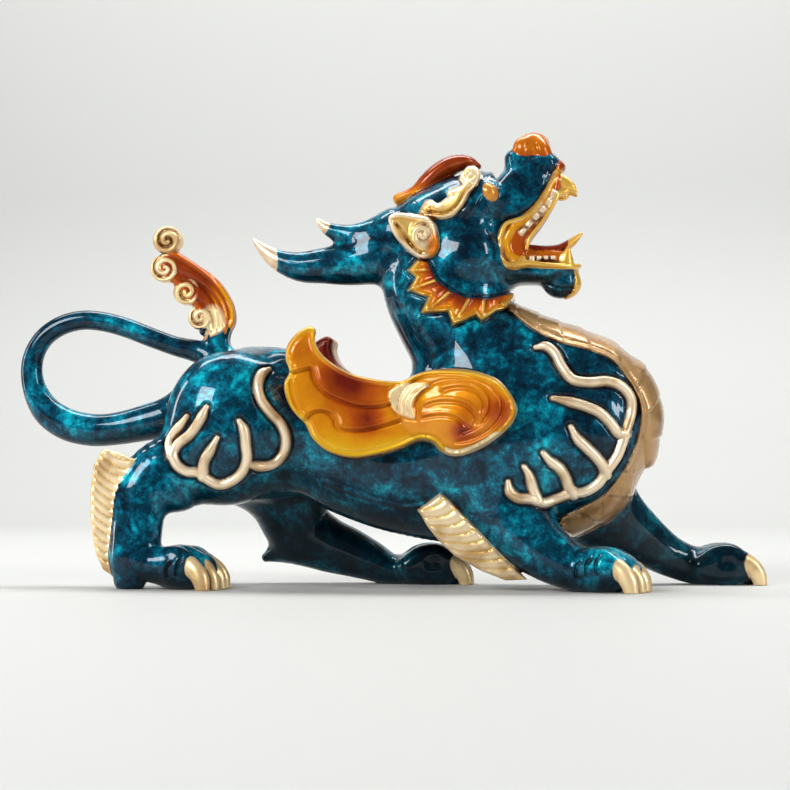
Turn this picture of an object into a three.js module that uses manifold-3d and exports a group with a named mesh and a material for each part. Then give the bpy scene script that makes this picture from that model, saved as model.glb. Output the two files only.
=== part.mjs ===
// A standing pixiu, cast in one piece: winged lion-dragon with one forked horn, head thrown back,
// tail in a loop that ends in a flame. Millimetres, +Z up, +X forwards, +Y the animal's left.
import * as THREE from 'three';
import { mergeVertices } from 'three/addons/utils/BufferGeometryUtils.js';
import Module from 'manifold-3d';

const wasm = await Module();
wasm.setup();

// The side picture: how far the eye is, how high, and how far round to the front it stands
const EYE_DISTANCE = 900;
const EYE_HEIGHT = 50;
const EYE_TURN = THREE.MathUtils.degToRad(6);

// Driving sizes of the animal
const STAND_CENTRE = new THREE.Vector3(-2.5, 3, 0);
const SIDES = 8;
const SMALL_SIDES = 5;

// A point that the side picture shows `across` from its middle and `up` from the ground,
// when it lies `out` to the animal's left
function seen(across, up, out = 0) {
  const c = Math.cos(EYE_TURN);
  const s = Math.sin(EYE_TURN);
  const x = (across * (1 + (out * c) / EYE_DISTANCE) - out * s) / (c + (across * s) / EYE_DISTANCE);
  const nearer = (out * c - x * s) / EYE_DISTANCE;
  return new THREE.Vector3(x, out, EYE_HEIGHT + (up - EYE_HEIGHT) * (1 + nearer));
}

// A closed solid from a geometry whose shared corners are merged
function solid(geometry) {
  const bare = geometry.clone();
  bare.deleteAttribute('normal');
  bare.deleteAttribute('uv');
  const merged = mergeVertices(bare, 1e-4);
  return new wasm.Manifold(
    new wasm.Mesh({
      numProp: 3,
      vertProperties: new Float32Array(merged.attributes.position.array),
      triVerts: new Uint32Array(merged.index.array),
    }),
  );
}

function joined(parts) {
  return parts.reduce((sum, part) => sum.add(part));
}

// The same geometry on the animal's other side
function mirrored(geometry) {
  const other = geometry.clone().scale(1, -1, 1);
  const index = other.index.array;
  for (let i = 0; i < index.length; i += 3) {
    [index[i], index[i + 1]] = [index[i + 1], index[i]];
  }
  return other;
}

function indexed(geometry) {
  return geometry.index ? geometry : mergeVertices(geometry, 1e-4);
}

function onBothSides(geometry) {
  const whole = indexed(geometry);
  return [solid(whole), solid(mirrored(whole))];
}

// A rounded limb through stations [across, up, out, tall, wide]: tall is the half height across the
// limb in the side picture, wide its half width towards the animal's side. `caps` are the angles of
// the rings that round off each end, and `blunt` how far the ends reach, in half widths
function limb(stations, { sides = SIDES, grow = 0, caps = [45], blunt = 1 } = {}) {
  const centres = stations.map(([a, u, o]) => seen(a, u, o));
  const path = new THREE.CatmullRomCurve3(centres, false, 'centripetal');
  const radii = new THREE.CatmullRomCurve3(
    stations.map(([, , , tall, wide]) => new THREE.Vector3(tall + grow, wide + grow, 0)),
    false,
    'centripetal',
  );
  const count = stations.length - 1;
  const rings = [];
  for (let i = 0; i <= count; i++) {
    const t = i / count;
    rings.push(ringAt(path.getPoint(t), path.getTangent(t), radii.getPoint(t)));
  }
  const capAngles = caps.map(THREE.MathUtils.degToRad);
  const first = rings[0];
  const last = rings[rings.length - 1];
  const front = capAngles.map((angle) => capRing(last, angle, blunt));
  const back = capAngles.map((angle) => capRing(first, angle, -blunt)).reverse();
  return ringsToGeometry(
    [...back, ...rings, ...front],
    sides,
    capTip(first, -blunt),
    capTip(last, blunt),
  );
}

function ringAt(centre, tangent, radius) {
  const side = new THREE.Vector3(0, 1, 0);
  side.addScaledVector(tangent, -side.dot(tangent)).normalize();
  const rise = new THREE.Vector3().crossVectors(tangent, side).normalize();
  return { centre, tangent, side, rise, tall: radius.x, wide: radius.y };
}

function capRing(ring, angle, sense) {
  const reach = Math.min(ring.tall, ring.wide);
  return {
    ...ring,
    centre: ring.centre.clone().addScaledVector(ring.tangent, sense * reach * Math.sin(angle)),
    tall: ring.tall * Math.cos(angle),
    wide: ring.wide * Math.cos(angle),
  };
}

function capTip(ring, sense) {
  const reach = Math.min(ring.tall, ring.wide);
  return ring.centre.clone().addScaledVector(ring.tangent, sense * reach);
}

function ringsToGeometry(rings, sides, startTip, endTip) {
  const positions = [];
  const index = [];
  for (const ring of rings) {
    for (let j = 0; j < sides; j++) {
      const angle = (j / sides) * Math.PI * 2;
      const p = ring.centre
        .clone()
        .addScaledVector(ring.rise, ring.tall * Math.cos(angle))
        .addScaledVector(ring.side, ring.wide * Math.sin(angle));
      positions.push(p.x, p.y, p.z);
    }
  }
  const start = rings.length * sides;
  positions.push(...startTip.toArray(), ...endTip.toArray());
  const last = (rings.length - 1) * sides;
  for (let j = 0; j < sides; j++) {
    const k = (j + 1) % sides;
    for (let i = 0; i < rings.length - 1; i++) {
      const a = i * sides;
      const b = a + sides;
      index.push(a + j, b + j, a + k, a + k, b + j, b + k);
    }
    index.push(start, j, k);
    index.push(start + 1, last + k, last + j);
  }
  const geometry = new THREE.BufferGeometry();
  geometry.setAttribute('position', new THREE.Float32BufferAttribute(positions, 3));
  geometry.setIndex(index);
  return geometry;
}

// An ellipsoid of half sizes long, wide and tall, its long axis tilted up by `tilt` degrees
function ball(across, up, out, long, wide, tall, tilt, detail) {
  const geometry = new THREE.SphereGeometry(1, detail, Math.round(detail * 0.6));
  geometry.scale(long, wide, tall);
  geometry.rotateY(-THREE.MathUtils.degToRad(tilt));
  const centre = seen(across, up, out);
  return geometry.translate(centre.x, centre.y, centre.z);
}

// A plate with the side-picture outline [across, up], from depth `inner` to depth `outer`
function plate(outline, inner, outer) {
  const middle = (inner + outer) / 2;
  const corners = outline.map(([a, u]) => {
    const p = seen(a, u, middle);
    return new THREE.Vector2(p.x, p.z);
  });
  const geometry = new THREE.ExtrudeGeometry(new THREE.Shape(corners), {
    depth: Math.abs(outer - inner),
    steps: 1,
    bevelEnabled: false,
  });
  geometry.rotateX(Math.PI / 2);
  return geometry.translate(0, Math.max(inner, outer), 0);
}

// Trunk from the rump to the breast, and the neck up to the throat
function trunk(grow = 0) {
  const body = limb(
    [
      [-97, 86, 0, 22, 18],
      [-82.5, 82.5, 0, 36, 27],
      [-67.5, 81.5, 0, 38.5, 30],
      [-52.5, 80.5, 0, 37.5, 29],
      [-37.5, 76.5, 0, 33.5, 27.5],
      [-17.5, 68, 0, 34, 28],
      [2.5, 63.5, 0, 37, 31],
      [22.5, 64.5, 0, 43, 34],
      [42.5, 69, 0, 48, 36.5],
      [62.5, 76, 0, 54, 38],
      [82.5, 77.5, 0, 51.5, 37],
      [102.5, 80.5, 0, 44, 34],
      [114, 82.5, 0, 34.5, 28],
      [122, 83.5, 0, 24, 20],
    ],
    { sides: 12, grow, caps: [30, 60], blunt: 0.45 },
  );
  const neck = limb(
    [
      [55, 84, 0, 36, 36],
      [45, 104, 0, 33, 33.5],
      [36.5, 121, 0, 29, 30.5],
      [30.5, 135, 0, 30, 28],
      [27, 147, 0, 32, 26.5],
      [25.5, 157, 0, 32, 26],
      [25, 167, 0, 28, 24],
    ],
    { sides: 12, grow },
  );
  return joined([solid(body), solid(neck)]);
}

// Skull, snout, nose, cheeks, lower jaw and chin
function head(grow = 0) {
  const skull = limb(
    [
      [2, 177, 0, 12, 14],
      [12.5, 179, 0, 17, 20],
      [25, 183, 0, 19, 23.5],
      [36.5, 187, 0, 20, 23.5],
      [46.5, 192, 0, 16.5, 20.5],
      [56, 193.5, 0, 12, 17],
      [63.5, 201.5, 0, 11, 15],
      [71.5, 209, 0, 8.5, 13],
      [77, 211.5, 0, 6, 10.5],
    ],
    { sides: 12, grow },
  );
  const nose = ball(69.5, 219, 0, 9.5, 11, 8, 25, 8);
  const lipTip = ball(81.5, 209.5, 0, 4.5, 8, 3.5, 20, 6);
  const jaw = limb(
    [
      [40, 160, 0, 12, 19],
      [52, 158, 0, 9, 17],
      [64, 156.5, 0, 6, 14],
      [77.5, 156.5, 0, 5.5, 12],
      [87, 158, 0, 4, 9],
    ],
    { sides: 8, grow },
  );
  const chin = ball(84, 151.5, 0, 9, 9, 7.5, 0, 8);
  const cheek = ball(37.5, 165.5, -10, 17.5 + grow, 18 + grow, 17.5 + grow, 0, 9);
  return joined([solid(skull), solid(nose), solid(lipTip), solid(jaw), solid(chin), ...onBothSides(cheek)]);
}

function horn() {
  const main = limb([
    [5, 168, 0, 17, 13],
    [-8.5, 164, 0, 13, 11],
    [-22.5, 161, 0, 10.5, 9.5],
    [-35, 160.5, 0, 9.2, 8.5],
    [-47.5, 160, 0, 7.6, 7],
    [-59, 163.5, 0, 5.2, 5],
    [-66.5, 169, 0, 3, 3],
    [-71, 173.5, 0, 0.8, 0.8],
  ]);
  const fork = limb(
    [
      [-2, 176, 0, 12, 11],
      [-17.5, 175.5, 0, 7, 7.5],
      [-25, 176.5, 0, 4.8, 5],
      [-32.5, 178.5, 0, 3.6, 3.6],
      [-36.5, 181, 0, 2.4, 2.4],
      [-39, 184, 0, 0.8, 0.8],
    ],
  );
  return joined([solid(main), solid(fork)]);
}

// The flame-shaped crest over the brows
function crest() {
  return solid(
    limb(
      [
        [2, 193.5, 0, 2, 3],
        [10, 196.5, 0, 4.5, 7],
        [22.5, 202.5, 0, 6.5, 9],
        [32.5, 208, 0, 6.5, 9],
        [40, 210.5, 0, 4, 7],
      ],
      { sides: 8 },
    ),
  );
}

function eyesAndBrows() {
  const eye = ball(47.5, 198, -15, 3.6, 4, 5, 0, 8);
  const brow = limb(
    [
      [38.5, 209, -16, 2.5, 3],
      [41, 204.5, -18.5, 4, 4],
      [37.5, 197.5, -20.5, 4, 4],
      [32.5, 190.5, -22, 4, 4],
      [26, 186, -22.5, 3.5, 4],
      [19.5, 185.5, -22.5, 3.5, 4],
      [15.5, 189, -22, 3, 3.5],
      [18.5, 193, -21.5, 2.5, 3],
    ],
    { sides: SMALL_SIDES, caps: [] },
  );
  return joined([...onBothSides(eye), ...onBothSides(brow)]);
}

function ears() {
  const leaf = plate(
    [
      [-3.5, 185.5],
      [0, 187.5],
      [12.5, 186],
      [19, 182],
      [21.5, 173],
      [21, 168],
      [17.5, 165],
      [11.5, 164],
      [2.5, 170.5],
      [-2, 177],
    ],
    -18,
    -29,
  );
  return joined(onBothSides(leaf));
}

// The lips run round the open mouth and carry the teeth; the tongue lies between them
function mouth() {
  const lip = limb(
    [
      [81, 209, -6.5, 2.6, 3],
      [76.5, 198, -10, 2.6, 3],
      [68.5, 189, -11.5, 2.6, 3],
      [57.5, 180, -13.5, 2.8, 3],
      [54.5, 169.5, -14.5, 3, 3],
      [60, 161.5, -14.5, 3, 3],
      [76, 161, -11, 2.2, 3],
      [88, 160, -7, 2, 3],
    ],
    { sides: SMALL_SIDES, caps: [] },
  );
  const tongue = limb(
    [
      [52, 164, 0, 4, 10],
      [66, 167, 0, 2.8, 8],
      [77, 168, 0, 2.2, 7],
      [86, 170.5, 0, 2, 6],
      [92.5, 176.5, 0, 1, 2],
    ],
    { sides: 8, caps: [] },
  );
  const throat = ball(50, 172, 0, 10, 12, 12, 0, 8);
  const upperFang = limb(
    [
      [83, 208, -6.5, 3, 3],
      [87.2, 201.5, -7, 1.9, 1.9],
      [89.4, 198.8, -7, 0.5, 0.5],
    ],
    { sides: SMALL_SIDES, caps: [] },
  );
  const lowerFang = limb(
    [
      [87, 161, -6.5, 3.2, 2.5],
      [86.5, 169.5, -7.5, 0.5, 0.5],
    ],
    { sides: SMALL_SIDES, caps: [] },
  );
  return joined([
    solid(tongue),
    solid(throat),
    ...[lip, upperFang, lowerFang].flatMap(onBothSides),
  ]);
}

// Collar of pointed locks under the jaw, standing 2.5 mm off the neck
function mane() {
  const locks = plate(
    [
      [17.5, 162],
      [21, 153],
      [27.5, 148],
      [35, 144.5],
      [47.5, 144],
      [59, 146.5],
      [55, 138.5],
      [51, 137.5],
      [43.5, 132.5],
      [40.5, 135.5],
      [30, 130.5],
      [26.5, 137.5],
      [13.5, 136.5],
      [16.5, 144.5],
      [6.5, 148],
      [11, 154.5],
      [6.5, 157.5],
      [11.5, 163.5],
    ],
    -4,
    -45,
  );
  const skin = joined([trunk(2.5), head(2.5)]);
  return joined(onBothSides(locks).map((side) => side.intersect(skin)));
}

// Both wings: a long plate of feathers that leaves the shoulder at a round swirl
function wings() {
  const feathers = plate(
    [
      [-42, 130],
      [-39.5, 128],
      [-40, 123],
      [-37.5, 117],
      [-31.5, 111.5],
      [-22.5, 106.5],
      [-12.5, 104],
      [-2.5, 102.5],
      [8.5, 104],
      [30, 100],
      [40, 80],
      [19, 73],
      [12.5, 73],
      [2.5, 69],
      [-7.5, 66],
      [-20, 64],
      [-27.5, 65],
      [-35, 68],
      [-41.5, 74],
      [-43.5, 80.5],
      [-47.5, 84],
      [-52.5, 89.5],
      [-55, 95.5],
      [-55.5, 101.5],
      [-53, 105.5],
      [-55, 114],
      [-54, 120.5],
      [-50, 126],
      [-46, 129],
    ],
    -25,
    -37,
  );
  const lowerFeathers = plate(
    [
      [-49, 100],
      [-44, 88],
      [-30, 82],
      [0, 85],
      [20, 84],
      [19, 74],
      [12.5, 73.5],
      [2.5, 69.5],
      [-7.5, 66.5],
      [-20, 65],
      [-35, 69],
      [-41, 74.5],
      [-43, 81],
      [-51, 90],
      [-54, 97],
    ],
    -31,
    -39.5,
  );
  const flared = [feathers, lowerFeathers].map(flare);
  const swirl = [
    ball(29, 87.5, -32, 31, 10.5, 21, -4, 12),
    ball(31, 83, -39, 20, 6, 14, -6, 8),
  ];
  return joined([...flared, ...swirl].flatMap(onBothSides));
}

// The feather tips stand off the flank
function flare(geometry) {
  const places = geometry.attributes.position;
  for (let i = 0; i < places.count; i++) {
    const behind = Math.max(0, -places.getX(i) - 5) / 45;
    places.setY(i, places.getY(i) - 5 * behind * behind);
  }
  return geometry;
}

function shoulder(grow = 0) {
  return ball(51, 68, -18, 35 + grow, 22 + grow, 38 + grow, 0, 11);
}

function haunch(grow = 0) {
  return ball(-84, 79, -17, 31 + grow, 22.5 + grow, 38 + grow, 0, 11);
}

// A paw whose pad is centred at `across`, with four clawed toes that reach forwards
function paw(across, out, lift) {
  const pad = ball(across, 8.5 + lift, out, 18, 14, 11.5, 0, 8);
  const toes = [-1.5, -0.5, 0.5, 1.5].map((place) => {
    const side = out + 7 * place;
    const reach = across - 1.5 * Math.abs(place);
    return limb(
      [
        [reach + 4, 10 + lift, side, 7, 4.8],
        [reach + 13, 8.5 + lift, side, 6.5, 4.4],
        [reach + 20.5, 2 + lift, side, 1.8, 1.4],
      ],
      { sides: SMALL_SIDES, caps: [] },
    );
  });
  return joined([pad, ...toes].map(solid));
}

function rightHindLeg(grow = 0) {
  return limb(
    [
      [-88, 70, -16, 26, 18],
      [-105, 60, -21, 19.5, 15],
      [-119, 56, -26, 15, 12],
      [-127, 46, -29, 13.5, 11],
      [-128.5, 32, -31, 12.8, 10.5],
      [-130, 16, -32, 12, 10.5],
      [-132, 4, -32, 8, 9],
    ],
    { grow },
  );
}

// The instep bridges from the right hind shank to the paw, over a small arch
function rightHindInstep() {
  return limb([
    [-132, 14, -32, 10, 9.5],
    [-120, 11.5, -33, 7.5, 10],
    [-108, 11, -33, 8.5, 11],
  ]);
}

function leftHindLeg() {
  const shank = limb([
    [-66, 66, 14, 26, 17],
    [-54, 44, 20, 20, 14.5],
    [-46, 28, 25, 17.5, 12.5],
    [-35, 21.5, 27, 14.5, 11.5],
    [-22.5, 17, 28, 12.5, 11],
    [-12.5, 13, 28, 10.5, 11],
    [-2.5, 8.7, 28, 8.3, 10.5],
    [8, 7.5, 28, 7.5, 10.5],
  ]);
  const hock = limb(
    [
      [-46, 24, 26, 12, 9],
      [-57, 18, 26, 7, 6],
      [-64, 14.5, 26, 2.5, 3],
    ],
    { sides: 10 },
  );
  return joined([solid(shank), solid(hock)]);
}

function rightFrontLeg(grow = 0) {
  return limb(
    [
      [47, 54, -18, 26, 17],
      [58, 34, -25, 19, 14.5],
      [74, 18, -31, 14, 12],
      [90, 9, -34, 11, 11.5],
      [104, 7, -35, 10, 12],
    ],
    { grow },
  );
}

function leftFrontLeg() {
  return solid(
    limb([
      [92, 52, 12, 28, 16],
      [104, 37, 22, 22, 14],
      [120, 26, 30, 14.5, 12],
      [137, 15, 37, 10.5, 10.5],
      [150, 10.5, 40, 9.5, 10.5],
      [164, 10.5, 41, 9.5, 11.5],
    ]),
  );
}

function legs() {
  return joined([
    ...onBothSides(shoulder()),
    ...onBothSides(haunch()),
    solid(rightHindLeg()),
    solid(rightHindInstep()),
    leftHindLeg(),
    solid(rightFrontLeg()),
    leftFrontLeg(),
    paw(-104, -33, -1.3),
    paw(19, 28, 0.8),
    paw(105, -35, -2.8),
    paw(164, 41, 1.5),
  ]);
}

// Ribbed fins behind the right hock and the right elbow
function fins() {
  const hockFin = plate(
    [
      [-146, 68],
      [-128, 64],
      [-131, 57],
      [-134, 43],
      [-137, 28],
      [-139, 13],
      [-144, 6.5],
      [-149, 13],
      [-151, 23],
      [-152, 38],
      [-150.5, 53],
    ],
    -26,
    -34,
  );
  const elbowFin = plate(
    [
      [12, 38],
      [22.5, 45.5],
      [32, 43],
      [50, 23],
      [66, 5],
      [58.5, 3],
      [47.5, 7],
      [32.5, 14],
      [22.5, 23],
      [16.5, 30.5],
    ],
    -24,
    -34,
  );
  return joined([solid(indexed(hockFin)), solid(indexed(elbowFin))]);
}

// The tail leaves the rump low, loops round and comes back to it from above
function tail() {
  return solid(
    limb(
      [
        [-93, 93, 0, 17, 13],
        [-111.5, 85, 0, 10.8, 9.5],
        [-125, 81.5, 0, 9.2, 8.5],
        [-140, 78.5, 0, 8.3, 8],
        [-152, 78, 0, 8.3, 8],
        [-164.5, 81, 0, 8.2, 8],
        [-174.5, 88, 0, 7.4, 7.4],
        [-181, 100.5, 0, 5.8, 6],
        [-181.5, 113, 0, 5.3, 5.5],
        [-176.5, 123.5, 0, 5, 5.2],
        [-168, 130, 0, 5, 5],
        [-157.5, 133, 0, 5, 5],
        [-147.5, 132.5, 0, 5, 5],
        [-135.5, 129.5, 0, 5, 5],
        [-122.5, 124.5, 0, 5, 5],
        [-110, 120, 0, 5, 5.2],
        [-97.5, 117, 0, 6, 6],
        [-86, 113, 0, 8, 8],
      ],
      { sides: 8, caps: [] },
    ),
  );
}

// The tail's end burns up in a flame with four curls along its rear edge
function flame() {
  const sheet = plate(
    [
      [-95, 112],
      [-82.5, 112],
      [-83.5, 125.5],
      [-81.5, 133],
      [-80.5, 140.5],
      [-82.5, 147],
      [-86.5, 152.5],
      [-95, 159],
      [-102.5, 163],
      [-108.5, 168],
      [-113, 171],
      [-119, 166],
      [-118, 158],
      [-112, 151],
      [-104, 144],
      [-99, 134],
      [-95, 124],
    ],
    5,
    -5,
  );
  const curls = [
    [-115, 173, 7],
    [-116, 160, 6.5],
    [-107, 147.5, 6],
    [-98.5, 135.5, 5],
  ].map(([across, up, radius]) => solid(ball(across, up, 0, radius, 6.5, radius, 0, 8)));
  return joined([solid(indexed(sheet)), ...curls]);
}

// A raised line of the given half width along side-picture points, cut from a skin that
// stands proud of the body
function lineWall(points, halfWidth, inner, outer) {
  const left = [];
  const right = [];
  points.forEach(([a, u], i) => {
    const [a0, u0] = points[Math.max(0, i - 1)];
    const [a1, u1] = points[Math.min(points.length - 1, i + 1)];
    const length = Math.hypot(a1 - a0, u1 - u0);
    const na = (-(u1 - u0) / length) * halfWidth;
    const nu = ((a1 - a0) / length) * halfWidth;
    left.push([a + na, u + nu]);
    right.push([a - na, u - nu]);
  });
  return plate([...left, ...right.reverse()], inner, outer);
}

function haunchLines() {
  const strokes = [
    [
      [-64, 108.5],
      [-68, 98],
      [-63.5, 88],
      [-56, 78],
      [-55, 69],
      [-59, 63],
      [-66, 60.5],
      [-73.5, 63.5],
    ],
    [
      [-78.5, 83.5],
      [-75, 76],
      [-75.5, 62],
      [-79, 53],
      [-86.5, 50.5],
      [-94, 54],
      [-95, 61],
      [-88.5, 74.5],
    ],
    [
      [-96, 57],
      [-104, 57],
      [-110.5, 63],
      [-107, 73],
      [-100, 79],
      [-94.5, 91],
    ],
  ];
  const proud = 2.2;
  const skin = joined([
    trunk(proud),
    ...onBothSides(haunch(proud)),
    ...onBothSides(rightHindLeg(proud)),
  ]);
  return strokeRelief(strokes, 2.2, skin);
}

function strokeRelief(strokes, halfWidth, skin) {
  const walls = strokes.flatMap((points) => onBothSides(lineWall(points, halfWidth, -8, -50)));
  return joined(walls.map((wall) => wall.intersect(skin)));
}

function breastLines() {
  const strokes = [
    [
      [70.5, 119.5],
      [80, 118.5],
      [87.5, 104.5],
      [95, 102],
      [111, 102],
      [119.5, 92],
      [116, 77],
      [108, 59],
      [97, 47],
      [84, 45],
      [71.5, 43.5],
    ],
    [
      [79, 94],
      [92, 91],
      [104, 86.5],
      [112, 75],
    ],
    [
      [88, 79.5],
      [92, 72],
      [101, 64],
      [104, 54],
    ],
  ];
  const proud = 2.2;
  const skin = joined([trunk(proud), ...onBothSides(shoulder(proud))]);
  return strokeRelief(strokes, 2, skin);
}

// Overlapping plates down the throat, breast and belly
function breastPlates() {
  const middle = [82.5, 78];
  const edge = [
    [60.5, 137],
    [72, 133],
    [84, 129],
    [97, 126.5],
    [112, 121],
    [125, 110],
    [131, 97],
    [131.5, 83],
    [128, 68],
    [120, 51],
    [106, 38],
    [90, 28.5],
    [72.5, 24],
  ];
  const skin = trunk(2.4);
  const gap = 0.05;
  const plates = [];
  for (let i = 0; i + 1 < edge.length; i++) {
    const halfWidth = i < 2 ? 12 : 18;
    const from = between(edge[i], edge[i + 1], gap);
    const to = between(edge[i], edge[i + 1], 1 - gap);
    const outline = [
      between(middle, from, 1.25),
      between(middle, to, 1.25),
      between(middle, to, 0.62),
      between(middle, from, 0.62),
    ];
    plates.push(solid(indexed(plate(outline, halfWidth, -halfWidth))).intersect(skin));
  }
  return joined(plates);
}

function between([a0, u0], [a1, u1], t) {
  return [a0 + (a1 - a0) * t, u0 + (u1 - u0) * t];
}

// Everything under the soles is cut away flat
function ground() {
  const slab = new THREE.BoxGeometry(600, 300, 60);
  return solid(slab.translate(0, 0, -30));
}

const body = joined([
  trunk(),
  head(),
  horn(),
  crest(),
  eyesAndBrows(),
  ears(),
  mouth(),
  mane(),
  wings(),
  legs(),
  fins(),
  tail(),
  flame(),
  haunchLines(),
  breastLines(),
  breastPlates(),
]).subtract(ground());

function asMesh(shape, name, material) {
  const mesh = shape.getMesh();
  const geometry = new THREE.BufferGeometry();
  geometry.setAttribute('position', new THREE.BufferAttribute(new Float32Array(mesh.vertProperties), 3));
  geometry.setIndex(new THREE.BufferAttribute(new Uint32Array(mesh.triVerts), 1));
  geometry.computeVertexNormals();
  const piece = new THREE.Mesh(geometry, material);
  piece.name = name;
  return piece;
}

const statue = new THREE.Group();
const lacquer = new THREE.MeshStandardMaterial({ color: 0x014a5e, roughness: 0.12, metalness: 0.3 });
statue.add(asMesh(body, 'pixiu', lacquer));
statue.position.copy(STAND_CENTRE).negate();
export default statue;
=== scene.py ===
"""A standing pixiu, cast in one piece and finished in coloured lacquer over gold: mottled teal body,
pale gold lines, fins and claws, amber wings, crest and collar.

The surface is worked out as one distance field in the modelling millimetres of the side picture
(`across` its middle, `up` from the ground, `out` to the animal's left), then meshed and painted.
"""
import math
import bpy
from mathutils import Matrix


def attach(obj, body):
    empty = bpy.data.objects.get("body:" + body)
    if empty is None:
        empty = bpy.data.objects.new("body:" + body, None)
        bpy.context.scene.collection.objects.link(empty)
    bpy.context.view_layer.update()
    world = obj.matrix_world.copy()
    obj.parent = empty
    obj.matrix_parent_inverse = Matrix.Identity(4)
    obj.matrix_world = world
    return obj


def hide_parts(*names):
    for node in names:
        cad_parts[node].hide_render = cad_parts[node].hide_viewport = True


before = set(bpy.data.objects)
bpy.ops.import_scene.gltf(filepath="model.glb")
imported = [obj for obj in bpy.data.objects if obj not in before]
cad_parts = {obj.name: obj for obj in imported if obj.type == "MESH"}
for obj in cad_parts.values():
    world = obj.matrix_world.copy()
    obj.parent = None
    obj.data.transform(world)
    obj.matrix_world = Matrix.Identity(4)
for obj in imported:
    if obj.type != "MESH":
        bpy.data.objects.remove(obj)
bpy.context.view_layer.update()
from concurrent.futures import ThreadPoolExecutor
from functools import partial

import bpy
import numpy as np
import openvdb
from mathutils import Vector

# Side picture: distance of the eye, its height and its turn to the front, in mm and radians
EYE_DISTANCE = 900.0
EYE_HEIGHT = 50.0
EYE_TURN = math.radians(6)
PICTURE_WIDTH = 395.0
AIM_HEIGHT = 95.5
STAND_CENTRE = np.array((-2.5, 3.0, 0.0))
METRES = 0.001

# Sizes of the mesh, and of the pieces of work
FINE_STEP = 0.7
MOST_TRIANGLES = 198_000
WORKERS = 4
CHUNK = 12_000
# Distances beyond this one don't count, and this one is outside every picture
FAR = 12.0
FAR_OFF = 999.0


def seen(across, up, out):
    """The point that the picture shows `across` and `up` when it lies `out` to the left."""
    across, up, out = (np.asarray(v, float) for v in (across, up, out))
    c = math.cos(EYE_TURN)
    s = math.sin(EYE_TURN)
    x = (across * (1 + out * c / EYE_DISTANCE) - out * s) / (c + across * s / EYE_DISTANCE)
    nearer = (out * c - x * s) / EYE_DISTANCE
    z = EYE_HEIGHT + (up - EYE_HEIGHT) * (1 + nearer)
    return np.stack(np.broadcast_arrays(x, out, z), axis=-1)


def picture(p):
    """Where the picture shows each point, as (across, up)."""
    c = math.cos(EYE_TURN)
    s = math.sin(EYE_TURN)
    size = EYE_DISTANCE / (EYE_DISTANCE - p[:, 0] * s + p[:, 1] * c)
    across = (p[:, 0] * c + p[:, 1] * s) * size
    up = EYE_HEIGHT + (p[:, 2] - EYE_HEIGHT) * size
    return np.stack((across, up), axis=1)


def smooth_path(points, spacing, closed=False):
    """Points of a smooth curve through `points`, about `spacing` apart; further columns follow."""
    points = np.asarray(points, float)
    if closed:
        points = np.vstack((points[-2:], points, points[:3]))
    gaps = np.linalg.norm(np.diff(points[:, :3], axis=0), axis=1)
    knots = np.concatenate(([0], np.cumsum(np.maximum(gaps, 1e-3) ** 0.5)))
    rates = np.diff(points, axis=0) / np.diff(knots)[:, None]
    slopes = np.empty_like(points)
    before = np.diff(knots)[:-1, None]
    after = np.diff(knots)[1:, None]
    slopes[1:-1] = (rates[:-1] * after + rates[1:] * before) / (before + after)
    slopes[0] = rates[0]
    slopes[-1] = rates[-1]
    path = []
    start = 2 if closed else 0
    stop = len(points) - 3 if closed else len(points) - 1
    for i in range(start, stop):
        count = max(1, int(round(gaps[i] / spacing)))
        t = (np.arange(count) / count)[:, None]
        width = knots[i + 1] - knots[i]
        path.append(
            (2 * t**3 - 3 * t**2 + 1) * points[i]
            + (t**3 - 2 * t**2 + t) * width * slopes[i]
            + (3 * t**2 - 2 * t**3) * points[i + 1]
            + (t**3 - t**2) * width * slopes[i + 1]
        )
    path.append(points[stop][None])
    return np.vstack(path)


def unit(v):
    return v / np.linalg.norm(v, axis=-1, keepdims=True)


def blend(a, b, radius):
    """The smaller distance, with a fillet of about `radius` where the two meet."""
    h = np.maximum(radius - np.abs(a - b), 0) / radius
    return np.minimum(a, b) - h * h * radius * 0.25


def step(value, width):
    """0 below nothing, 1 above `width`, smooth between."""
    t = np.clip(value / width, 0, 1)
    return t * t * (3 - 2 * t)


def hump(value, width):
    """1 at nothing, falling off to both sides over about `width`."""
    return np.exp(-((value / width) ** 2))


def relief(distance, *beads):
    """Ridges and grooves beside a line, each one (place, width, height) in mm."""
    return sum(height * hump(distance - place, width) for place, width, height in beads)


def rounded(a, b, radius):
    """Distance from where `a` and `b` are both negative, with its edges rounded."""
    a = a + radius
    b = b + radius
    outside = np.hypot(np.maximum(a, 0), np.maximum(b, 0))
    return np.minimum(np.maximum(a, b), 0) + outside - radius


def from_spot(flat, spot, squeeze=1.0):
    """Distance from a spot of the picture, its upward part counted `squeeze` times."""
    return np.hypot(flat[:, 0] - spot[0], squeeze * (flat[:, 1] - spot[1]))


class Chain:
    """A run of straight pieces; finds the nearest piece and the place along it."""

    def __init__(self, points):
        points = np.asarray(points, np.float32)
        run = np.diff(points, axis=0)
        self.start = points[:-1]
        self.length2 = np.maximum((run**2).sum(axis=1), 1e-9)
        self.rate = run / self.length2[:, None]
        self.rate_start = (self.start * self.rate).sum(axis=1)
        self.start2 = (self.start**2).sum(axis=1)

    def nearest(self, p):
        along = p @ self.rate.T - self.rate_start
        t = np.clip(along, 0, 1)
        cost = self.start2 - 2 * (p @ self.start.T) - self.length2 * t * (2 * along - t)
        index = cost.argmin(axis=1)
        rows = np.arange(len(p))
        return index, t[rows, index], along[rows, index]


def ellipsoid_distance(parts, radii):
    scaled = [v / r for v, r in zip(parts, radii)]
    k0 = np.sqrt(sum(v**2 for v in scaled))
    k1 = np.sqrt(sum((v / r) ** 2 for v, r in zip(scaled, radii)))
    return k0 * (k0 - 1) / np.maximum(k1, 1e-4)


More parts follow.
